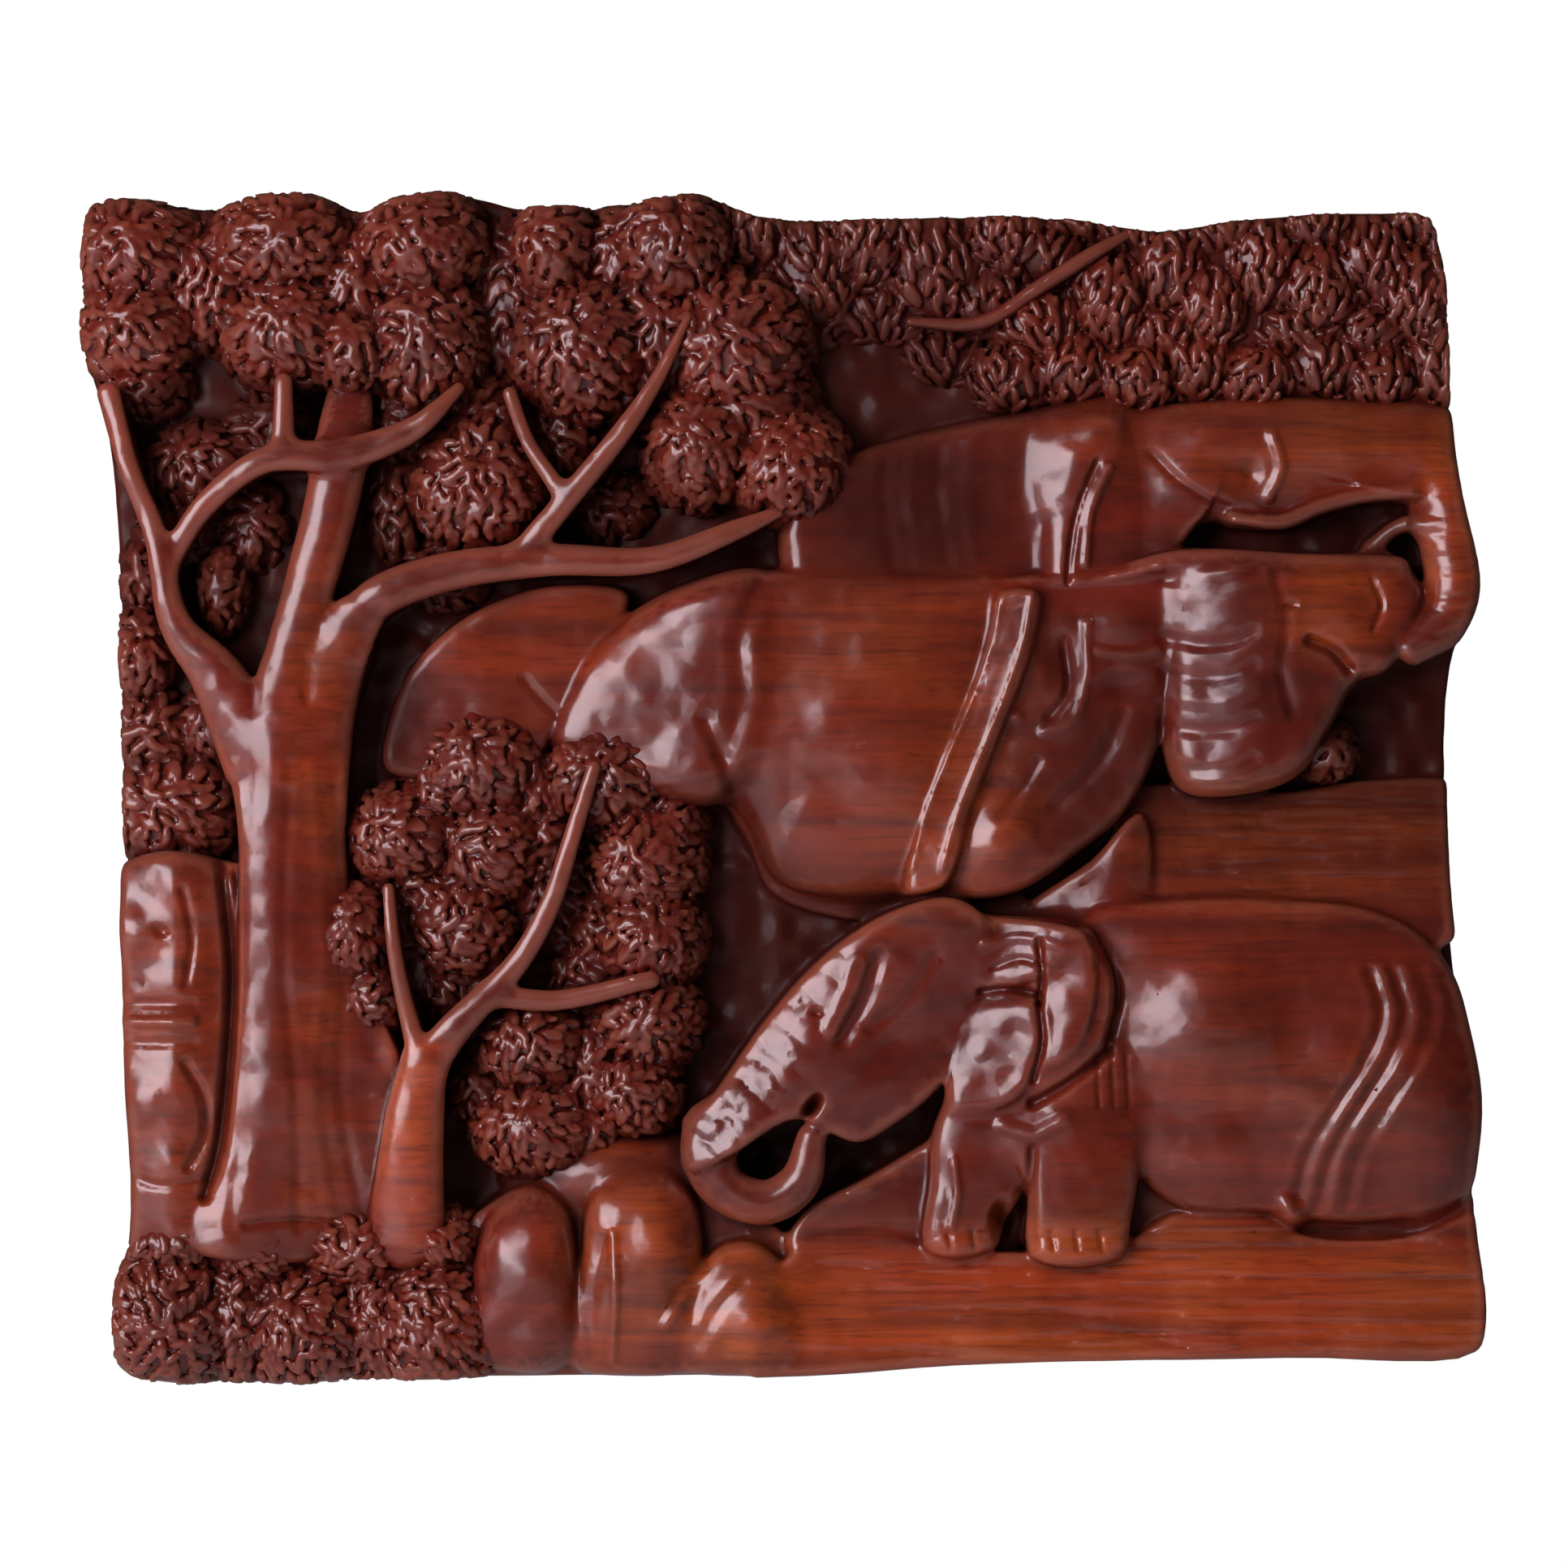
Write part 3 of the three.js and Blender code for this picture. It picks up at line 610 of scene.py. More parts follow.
def leaves_on(ball, others, cut, rng):
    """Leaves laid over a ball like scales, fanning out from its front, their tips lifted.

    Their number follows from the area of half an ellipsoid, by the usual rule with powers of 1.6.
    """
    x0, y0, half_width, half_height, front = ball
    centre = np.array((x0, y0, FLOOR), float)
    radii = np.array((half_width, half_height, front - FLOOR - 1), float)
    power = 1.6
    sides = ((radii[0], radii[1]), (radii[0], radii[2]), (radii[1], radii[2]))
    area = 2 * math.pi * (sum((a * b) ** power for a, b in sides) / 3) ** (1 / power)
    count = int(area * cut["cover"] / (cut["length"] * cut["width"]))
    golden_angle = math.pi * (3 - math.sqrt(5))
    fan_from = np.array(cut["fan_from"]) + rng.normal(0, 0.22, 3)
    made = []
    for i in range(count):
        level = 1 - (i + 0.5) / count
        turn = i * golden_angle + rng.normal(0, 0.25)
        ring = math.sqrt(1 - level ** 2)
        sphere = np.array((ring * math.cos(turn), ring * math.sin(turn), level))
        spot = centre + sphere * radii
        normal = unit(sphere / radii)
        away = spot - centre - fan_from * radii
        away = away + rng.normal(0, cut["scatter"], 3) * np.linalg.norm(away)
        along = unit(away - normal * (away @ normal))
        lift = math.radians(cut["lift"] + rng.normal(0, 6))
        along, facing = (along * math.cos(lift) + normal * math.sin(lift),
                         normal * math.cos(lift) - along * math.sin(lift))
        size = rng.uniform(0.8, 1.2)
        if spot[2] < FLOOR + 1 or any(buried(spot, other) for other in others):
            continue
        made.append(leaf(spot, along, facing, cut["length"] * size, cut["width"] * size, cut["thickness"]))
    return made


def buried(spot, ball):
    """Whether a spot lies well inside a ball."""
    x0, y0, half_width, half_height, front = ball
    inside = ((spot[0] - x0) / half_width) ** 2 + ((spot[1] - y0) / half_height) ** 2
    return inside + ((spot[2] - FLOOR) / (front - FLOOR)) ** 2 < 0.75


def foliage(balls, cut, seed):
    """The field of a group of leafy balls."""
    spans = np.array(balls)
    margin = 6
    low = [(spans[:, 0] - spans[:, 2]).min() - margin, (spans[:, 1] - spans[:, 3]).min() - margin, FLOOR - 4]
    high = [(spans[:, 0] + spans[:, 2]).max() + margin, (spans[:, 1] + spans[:, 3]).max() + margin,
            BLOCK_DEPTH + 1]
    low[:2] = np.maximum(low[:2], OUTLINE.min(axis=0) - 2)
    high[:2] = np.minimum(high[:2], OUTLINE.max(axis=0) + 2)
    field = Field(low, high, LEAF_STEP)
    rng = np.random.default_rng(seed)
    for ball in balls:
        x0, y0, half_width, half_height, front = ball
        field.join(mass(x0, y0, half_width - SIDE_COVER, half_height - SIDE_COVER, front - FRONT_COVER))
    for ball in balls:
        others = [other for other in balls if other is not ball]
        for form in leaves_on(ball, others, cut, rng):
            field.join(form)
    return clipped(field)


def reached(free, seeds):
    """The free cells of a grid that a path of free cells joins to the seeds."""
    found = free & seeds
    count = 0
    while count < found.sum():
        count = found.sum()
        for axis in range(3):
            cells, passable = np.moveaxis(found, axis, 0), np.moveaxis(free, axis, 0)
            for i in range(1, len(cells)):
                cells[i] |= cells[i - 1] & passable[i]
            for i in range(len(cells) - 2, -1, -1):
                cells[i] |= cells[i + 1] & passable[i]
    return found


def clipped(field):
    """Keeps a field of leaves inside the block and off its back, with no bubbles or loose chips."""
    x, y, h = np.meshgrid(*(field.axis(i) for i in range(3)), indexing="ij", sparse=True)
    edge = outline_distance(OUTLINE, x[..., 0], y[..., 0])[..., None] + LEAF_INSET
    kept = np.maximum(edge, FLOOR - 2 - h)
    field.distance = smooth_max(field.distance, kept, LEAF_ROUNDING).astype(np.float32)
    air = field.distance > 0
    sides = np.ones_like(air)
    sides[1:-1, 1:-1, 1:-1] = False
    field.distance[air & ~reached(air, sides)] = -field.step / 2
    wood = field.distance <= 0
    field.distance[wood & ~reached(wood, h < FLOOR)] = field.step / 2
    return field


def soft_noise(counts, cell, rng):
    """Smooth random waves from -1 to 1 over a grid of x and y, cell grid points long."""
    coarse = rng.uniform(-1, 1, [n // cell + 3 for n in counts])
    for axis, n in enumerate(counts):
        place = np.arange(n) / cell
        first = place.astype(int)
        share = place - first
        share = share * share * (3 - 2 * share)
        a, b = np.take(coarse, first, axis), np.take(coarse, first + 1, axis)
        weight = share[:, None] if axis == 0 else share[None, :]
        coarse = a * (1 - weight) + b * weight
    return coarse


# The uneven surface that the tools leave, as (wavelength, depth) in mm
TOOL_WAVES = ((26, 1.1), (13, 0.55), (6, 0.22), (3.5, 0.12))
FLOOR_WAVE = (7, 1.3)


class Tooling:
    """Fine relief over the big forms, as a lift of the surface in mm over each x and y."""

    def __init__(self, field):
        self.field = field
        self.x = field.axis(0)[:, None]
        self.y = field.axis(1)[None, :]
        self.lift = np.zeros(field.distance.shape[:2], np.float32)

    def stroke(self, points, width, lift):
        """A ridge, or with a negative lift a groove, along a smooth line of x and y."""
        rows = smooth_path([(x, y, width, 0) for x, y in points], steps=5)
        low, high = rows[:, :2].min(axis=0) - width, rows[:, :2].max(axis=0) + width
        i = slice(*np.searchsorted(self.x[:, 0], (low[0], high[0])))
        j = slice(*np.searchsorted(self.y[0], (low[1], high[1])))
        away, _, _ = nearest_on_path(rows, self.x[i], self.y[:, j])
        share = np.clip(1 - 2 * away / width, 0, 1)
        self.lift[i, j] += lift * smooth_step(share, 0, 1)

    def dimple(self, x0, y0, half_width, half_height, lift, tilt=0):
        """A soft round bump, or with a negative lift a hollow."""
        turn = math.radians(tilt)
        along = (self.x - x0) * math.cos(turn) + (self.y - y0) * math.sin(turn)
        across = (self.y - y0) * math.cos(turn) - (self.x - x0) * math.sin(turn)
        away = np.hypot(along / half_width, across / half_height)
        self.lift += lift * smooth_step(1 - away, 0, 1)

    def apply(self):
        """Moves the front of the wood by the lift, and leaves the back where it is."""
        distance, step = self.field.distance, self.field.step
        heights = self.field.axis(2)
        hold = smooth_step(heights, 5, 12)
        last = len(heights) - 1
        for i in range(distance.shape[0]):
            place = np.arange(len(heights)) - self.lift[i][:, None] * hold / step
            place = np.clip(place, 0, last - 0.001)
            first = place.astype(int)
            share = (place - first).astype(np.float32)
            below = np.take_along_axis(distance[i], first, 1)
            above = np.take_along_axis(distance[i], first + 1, 1)
            distance[i] = below + (above - below) * share


def carve_far_elephant(tools):
    stroke, dimple = tools.stroke, tools.dimple
    dimple(383, 303, 17, 12, -2.6, -15)
    dimple(389, 302, 5, 7, -1.6)
    stroke([(396, 315), (399, 304), (395, 294)], 6, 1.4)
    stroke([(356, 309), (366, 299), (378, 292), (390, 289)], 5, -1.2)
    stroke([(338, 306), (332, 292), (329, 278), (328, 266)], 4, -1.8)
    stroke([(342, 304), (336, 290), (334, 272)], 5, 1.4)
    for x, y, lift in ((323, 303, -0.5), (330, 309, 0.6), (327, 296, 0.5), (321, 286, -0.6)):
        dimple(x, y, 6, 5, lift)
    for x, lift in ((268, -0.5), (277, 0.4), (286, -0.5), (296, 0.4)):
        stroke([(x, 316), (x - 1, 295), (x + 2, 272)], 8, lift)
    for i in range(9):
        y = 302 - 6.5 * i + 1.2 * math.sin(3 * i)
        stroke([(444, y), (456, y - 1.5), (468, y + 1)], 4, -0.4)
    stroke([(441, 290), (440, 278)], 4, 1.0)


def carve_middle_elephant(tools):
    stroke, dimple = tools.stroke, tools.dimple
    stroke([(208, 220), (215, 202), (223, 184), (230, 166)], 9, -1.3)
    stroke([(224, 264), (219, 246), (220, 228), (214, 208)], 12, -1.4)
    stroke([(300, 268), (325, 266), (345, 268), (358, 271)], 6, 1.2)
    stroke([(334, 252), (334, 234), (330, 220), (320, 216)], 6, 1.1)
    stroke([(327, 246), (328, 230), (322, 221)], 6, -1.8)
    for y, lift in ((266, -0.9), (246, -1.3), (235, -0.9), (227, 0.7), (217, -1.0), (204, -0.9)):
        stroke([(360, y + 1), (372, y - 1), (383, y), (389, y + 3)], 8, lift)
    stroke([(396, 268), (400, 252), (398, 236), (402, 222)], 7, -1.0)
    stroke([(429, 266), (432, 258), (429, 250)], 4, -1.3)
    stroke([(408, 246), (415, 243), (421, 237)], 7, -3.4)
    dimple(402, 258, 3, 2.2, -1.6)
    for shift in (-5.5, 5.0):
        stroke([(311 + shift, 262), (308 + shift, 246), (301 + shift, 226), (293 + shift, 206),
                (286 + shift, 188), (281 + shift, 170)], 3.5, 0.9)
    dimple(326, 240, 9, 14, -2.2, 10)
    dimple(346, 231, 11, 9, -2.4)
    stroke([(338, 243), (348, 242), (358, 243)], 5, 1.2)
    stroke([(346, 222), (338, 206), (324, 192)], 9, -1.2)
    stroke([(318, 206), (312, 196), (306, 188)], 6, -1.0)
    dimple(311, 221, 3, 3, 1.6)


def carve_young_elephant(tools, rng):
    stroke, dimple = tools.stroke, tools.dimple
    for offset, lift in ((-6, 0.4), (-2, -0.8), (2, 0.7), (6, -0.8), (10, 0.7), (15, -0.6), (19, 0.4)):
        stroke([(429 + offset, 138), (433 + offset, 123), (427 + offset, 107), (417 + offset, 91),
                (409 + offset, 76), (405 + offset, 58)], 5, lift)
    for step in range(11):
        x, y = 206 + 4.6 * step, 80 + 6.0 * step
        bend = 1.5 * math.sin(2.1 * step)
        stroke([(x - 3, y + 4), (x + 3 + bend, y + bend), (x + 9, y - 6)], 4.5, -0.35)
    for step in range(60):
        along, across = rng.uniform(0, 62), rng.uniform(-3, 12)
        x, y = 205 + 0.62 * along + 0.78 * across, 80 + 0.78 * along - 0.62 * across
        dimple(x, y, rng.uniform(1.5, 3), rng.uniform(1.5, 3), rng.uniform(-0.5, 0.5))
    dimple(224, 74, 7, 5.5, -12, 35)
    dimple(243, 92, 7, 3.5, -8, 55)
    stroke([(258, 140), (254, 128), (249, 118)], 8, 2.3)
    stroke([(265, 142), (261, 128), (253, 114)], 8, -1.9)
    dimple(245, 123, 2.6, 2.2, -2.0)
    dimple(268, 112, 16, 9, -1.4, 50)
    stroke([(262, 118), (274, 128), (284, 142)], 8, -1.0)
    for points in ([(299, 130), (308, 131), (318, 129)], [(318, 126), (319, 114), (316, 101)],
                   [(318, 147), (319, 134), (318, 126)]):
        stroke(points, 4, -2.4)
    stroke([(336, 148), (344, 132), (341, 112)], 6, -2.2)
    stroke([(316, 93), (328, 100), (341, 110)], 6, -3.2)
    for x in (337, 342, 347):
        stroke([(x, 109), (x + 1, 92)], 3, -0.7)
    stroke([(300, 146), (312, 148), (326, 145)], 5, 0.9)
    stroke([(303, 138), (312, 141), (322, 138)], 4, -0.9)
    for x, y, lift in ((299, 111, 0.7), (308, 102, -0.7), (295, 101, 0.5), (310, 117, -0.6), (326, 128, 0.6)):
        dimple(x, y, 6, 5, lift, 30)
    stroke([(306, 86), (316, 83), (326, 88)], 8, 1.4)
    stroke([(316, 78), (315, 62), (316, 46)], 6, -2.2)
    dimple(306, 54, 6, 9, -7)
    stroke([(290, 74), (291, 62), (289, 52)], 5, 1.2)
    for x in (288, 296, 322, 330, 338):
        stroke([(x, 51), (x + 1, 45)], 3, -0.9)


def carve_trees_and_hidden_elephants(tools):
    stroke, dimple = tools.stroke, tools.dimple
    bark = ((55, -0.5), (71, -0.7), (79, 0.5), (87, -0.6))
    for i, (x, lift) in enumerate(bark):
        lean = (x - 66) * 0.35
        sway = 1.5 * math.sin(2 * i)
        stroke([(x + lean, 52), (x + sway, 95), (x - 2 * sway, 140), (x - lean / 3, 205)], 7, lift)
    stroke([(92, 52), (70, 54), (56, 53)], 5, -1.5)
    for y, lift in ((126, -1.2), (120, 1.8), (113, -1.2)):
        stroke([(6, y), (22, y), (38, y)], 6, lift)
    stroke([(35, 164), (38, 148), (36, 132)], 5, -1.2)
    dimple(28, 150, 4, 3, -2.0, -20)
    stroke([(36, 106), (42, 94), (42, 82), (37, 72)], 6, -1.8)
    stroke([(47, 172), (50, 140), (49, 110), (46, 80), (42, 62)], 6, -3.5)
    stroke([(12, 72), (26, 66), (42, 68)], 5, -1.0)
    stroke([(147, 234), (152, 228), (158, 222)], 6, -1.0)


def carve_boulders(tools):
    stroke, dimple = tools.stroke, tools.dimple
    stroke([(177, 8), (178, 28), (177, 50)], 5, 1.2)
    stroke([(170, 10), (171, 30), (174, 48)], 8, -1.0)
    stroke([(195, 20), (203, 31), (212, 42)], 7, 1.3)
    stroke([(206, 14), (212, 25), (220, 34)], 8, -1.0)
    dimple(214, 12, 8, 6, -1.4)


def carve_ground(tools, rng):
    """Long shallow gouge lines along the ground, and a rippled bank behind."""
    for low, high, left, right in ((6, 50, 236, 466), (160, 198, 356, 458)):
        y = low
        while y < high:
            start = rng.uniform(left, right - 60)
            length = rng.uniform(40, 140)
            bend = rng.normal(0, 1.5, 3)
            points = [(start, y + bend[0]), (start + length / 2, y + bend[1]), (start + length, y + bend[2])]
            tools.stroke(points, rng.uniform(2, 4), -rng.uniform(0.2, 0.6))
            y += rng.uniform(0.5, 1.5)


def carved_body():
    """The field of everything but the leaves."""
    margin = 3
    low = (*(OUTLINE.min(axis=0) - margin), -margin)
    high = (*(OUTLINE.max(axis=0) + margin), BLOCK_DEPTH + 2)
    field = Field(low, high, BODY_STEP)
    _, (x, y, h) = field.window(low, high)
    rng = np.random.default_rng(SEED)
    wavelength, depth = FLOOR_WAVE
    ripple = depth * soft_noise(field.distance.shape[:2], int(wavelength / BODY_STEP), rng)
    field.distance = (h - FLOOR - ripple[..., None]).astype(np.float32)
    groups = ((hills(), 2.5), (banks(), 5.0), (far_elephant(), 5.0), (hidden_elephants(), 4.0),
              (ground(), 2.0), (middle_elephant(), 4.5), (young_elephant(), 4.0), (tall_tree(), 4.0),
              (small_tree(), 3.0), (boulders(), 3.0))
    for forms, blend in groups:
        whole = Field(low, high, BODY_STEP)
        for form in forms:
            whole.join(form, blend)
        field.distance = smooth_min(field.distance, whole.distance, 2.5)
    tools = Tooling(field)
    carve_far_elephant(tools)
    carve_middle_elephant(tools)
    carve_young_elephant(tools, rng)
    carve_trees_and_hidden_elephants(tools)
    carve_boulders(tools)
    carve_ground(tools, rng)
    for wavelength, depth in TOOL_WAVES:
        tools.lift += depth * soft_noise(tools.lift.shape, max(int(wavelength / BODY_STEP), 2), rng)
    tools.apply()
    edge = outline_distance(OUTLINE, x[..., 0], y[..., 0])[..., None] + BODY_INSET
    field.distance = smooth_max(field.distance, edge, SIDE_ROUNDING)
    faces = np.maximum(BACK_INSET - h, h - BLOCK_DEPTH + FRONT_INSET)
    field.distance = smooth_max(field.distance, faces, BACK_ROUNDING)
    return field


def to_world(points):
    """Millimetres on the relief to metres in the panel's frame."""
    x, y, height = points.T
    placed = (x - PANEL_WIDTH / 2, -height, y + HANG_BELOW_TOP - PANEL_HEIGHT)
    return np.stack(placed, axis=1) / 1000


def mesh_of(name, points, faces):
    """A mesh of faces that all have the same number of corners."""
    mesh = bpy.data.meshes.new(name)
    mesh.vertices.add(len(points))
    mesh.vertices.foreach_set("co", points.astype(np.float32).ravel())
    mesh.loops.add(faces.size)
    mesh.loops.foreach_set("vertex_index", faces.astype(np.int32).ravel())
    mesh.polygons.add(len(faces))
    mesh.polygons.foreach_set("loop_start", np.arange(0, faces.size, faces.shape[1], dtype=np.int32))
    mesh.update(calc_edges=True)
    return mesh


def thinned_triangles(piece, ratio):
    """The points and triangles of a piece's mesh, thinned to a share of its triangles."""
    thin = piece.modifiers.new("thin", "DECIMATE")
    thin.ratio = ratio
    graph = bpy.context.evaluated_depsgraph_get()
    mesh = piece.evaluated_get(graph).data
    mesh.calc_loop_triangles()
    points = np.empty(3 * len(mesh.vertices), np.float32)
    triangles = np.empty(3 * len(mesh.loop_triangles), np.int32)
    mesh.vertices.foreach_get("co", points)
    mesh.loop_triangles.foreach_get("vertices", triangles)
    piece.modifiers.clear()
    return points.reshape(-1, 3), triangles.reshape(-1, 3)


def build_mesh(name, field, triangles):
    """The surface of a field as an object, thinned to a number of triangles.

    Thinning can leave doubled edges where thin leaves touch, so the mesh is made anew from its
    triangles.
    """
    grid = openvdb.FloatGrid(2.0)
    grid.copyFromArray(np.ascontiguousarray(np.clip(field.distance, -2, 2)))
    points, quads = grid.convertToQuads(0.0)
    full = mesh_of(name, to_world(points * field.step + field.low), quads)
    piece = bpy.data.objects.new(name, full)
    bpy.context.collection.objects.link(piece)
    thinned = mesh_of(name, *thinned_triangles(piece, min(1, triangles / (2 * len(quads)))))
    thinned.validate()
    thinned.shade_smooth()
    piece.data = thinned
    bpy.data.meshes.remove(full)
    thinned.name = name
    return piece


def blur(values, radius, times=3):
    """A soft blur of a map over x and y, radius grid points wide."""
    for _ in range(times):
        for axis in (0, 1):
            pad = [(0, 0), (0, 0)]
            pad[axis] = (radius + 1, radius)
            sums = np.cumsum(np.pad(values, pad, mode="edge"), axis=axis)
            upper = np.take(sums, range(2 * radius + 1, sums.shape[axis]), axis)
            lower = np.take(sums, range(0, sums.shape[axis] - 2 * radius - 1), axis)
            values = (upper - lower) / (2 * radius + 1)
    return values


# Soft spots as (x, y, half width, half height, strength). First where the wood is worn to orange: the
# ground, the small trunk, brows and boulders. Then where painted shade is laid darkest between the forms.
WORN_SPOTS = (
    (350, 24, 130, 30, 1.0), (112, 84, 14, 34, 1.0), (222, 26, 26, 26, 0.8), (176, 40, 22, 40, 0.5),
    (405, 178, 60, 22, 0.6), (385, 105, 60, 50, 0.2), (268, 215, 45, 60, 0.4), (300, 178, 26, 24, 0.5),
    (416, 258, 22, 16, 0.7), (395, 312, 70, 16, 0.45), (456, 292, 12, 36, 0.8), (80, 100, 14, 50, 0.3),
    (82, 220, 14, 50, 0.5), (150, 246, 34, 22, 0.6), (38, 110, 20, 60, 0.4),
)
# Painted shade: these spots darken the wood where the forms shade each other most deeply.
PAINTED_SHADE_SPOTS = (
    (98, 230, 17, 34, 1.0), (124, 262, 30, 8, 0.7), (218, 190, 18, 16, 0.7), (222, 150, 16, 40, 0.8),
    (250, 335, 34, 16, 0.8), (430, 220, 26, 12, 0.9), (352, 210, 5, 40, 0.5), (38, 325, 28, 12, 0.9),
    (175, 292, 26, 18, 0.7), (276, 290, 34, 28, 0.85), (50, 250, 24, 30, 0.5), (350, 66, 12, 20, 0.6),
    (270, 92, 24, 10, 0.6), (148, 330, 12, 40, 0.5), (422, 282, 22, 8, 0.6), (326, 206, 22, 40, 0.8),
)


def strongest(spots, x, y):
    """The strongest of some soft spots at each place."""
    total = np.zeros(np.broadcast(x, y).shape)
    for x0, y0, half_width, half_height, strength in spots:
        away = np.hypot((x - x0) / half_width, (y - y0) / half_height)
        total = np.maximum(total, strength * smooth_step(1.5 - away, 0, 1))
    return total


class Shading:
    """What the finish needs to know of each place: its depth, which lays stain and painted shade, its edge
    wear with painted highlight, and the wood's warmth.
    """

    def __init__(self, body, leafy):
        self.body = body
        top = body.top()
        for field in leafy:
            top = np.maximum(top, self.resample(field))
        self.fine, self.near, self.wide = (blur(top, max(int(radius / body.step), 1))
                                           for radius in (1.6, 5, 13))
        x, y = body.axis(0)[:, None], body.axis(1)[None, :]
        self.warm = strongest(WORN_SPOTS, x, y)
        self.painted_shade = strongest(PAINTED_SHADE_SPOTS, x, y)

    def resample(self, field):
        source = field.top()
        places = []
        for axis in (0, 1):
            index = np.rint((self.body.axis(axis) - field.low[axis]) / field.step).astype(int)
            places.append((np.clip(index, 0, source.shape[axis] - 1),
                           (index >= 0) & (index < source.shape[axis])))
        (i, i_inside), (j, j_inside) = places
        return source[i][:, j] * (i_inside[:, None] & j_inside[None, :])

    def mark(self, piece, leafiness):
        """Stores the depth with its stain and painted shade, the edge wear with its painted highlight, and
        the warmth at every vertex of a piece.
        """
        mesh = piece.data
        world = np.empty(len(mesh.vertices) * 3, np.float32)
        mesh.vertices.foreach_get("co", world)
        world = world.reshape(-1, 3) * 1000
        height = -world[:, 1]
        placed = (world[:, 0] + PANEL_WIDTH / 2, world[:, 2] + PANEL_HEIGHT - HANG_BELOW_TOP)
        i, j = (np.clip(np.rint((along - self.body.low[axis]) / self.body.step).astype(int),
                        0, self.near.shape[axis] - 1) for axis, along in enumerate(placed))
        # How far a vertex lies below its blurred surroundings. It drives both the dark stain in the hollows
        # and painted shade in recesses and creases.
        depth = sum((level[i, j] - height) / full
                    for level, full in ((self.fine, 7), (self.near, 11), (self.wide, 17)))
        on_front = smooth_step(height, 3, 12)
        # Painted shade: the lower the wood lies in the relief, the darker it is painted.
        deep_layer_shade = 0.9 * (1 - smooth_step(height, 17, 34))
        # Painted shade from the spots above, faded out on the highest wood.
        painted_shade = self.painted_shade[i, j] * (1 - smooth_step(height, 30, 41))
        # Leaves take a little of it everywhere, and less of it in their gaps.
        hollow = smooth_step(depth, -0.2, 1.2) * (1 - 0.4 * leafiness) + 0.18 * leafiness
        # The stored depth mixes stain and painted shade, and is held off the flat back.
        self.store(mesh, "depth", np.maximum(np.maximum(hollow, deep_layer_shade), painted_shade) * on_front)
        # Raised rims: partly real wear, partly a painted highlight along the edges.
        self.store(mesh, "edge_wear_and_highlight", smooth_step(height - self.fine[i, j], 0.3, 1.6) * on_front)
        self.store(mesh, "warmth", self.warm[i, j] * (1 - leafiness))

    @staticmethod
    def store(mesh, name, values):
        attribute = mesh.attributes.new(name, "FLOAT", "POINT")
        attribute.data.foreach_set("value", values.astype(np.float32))


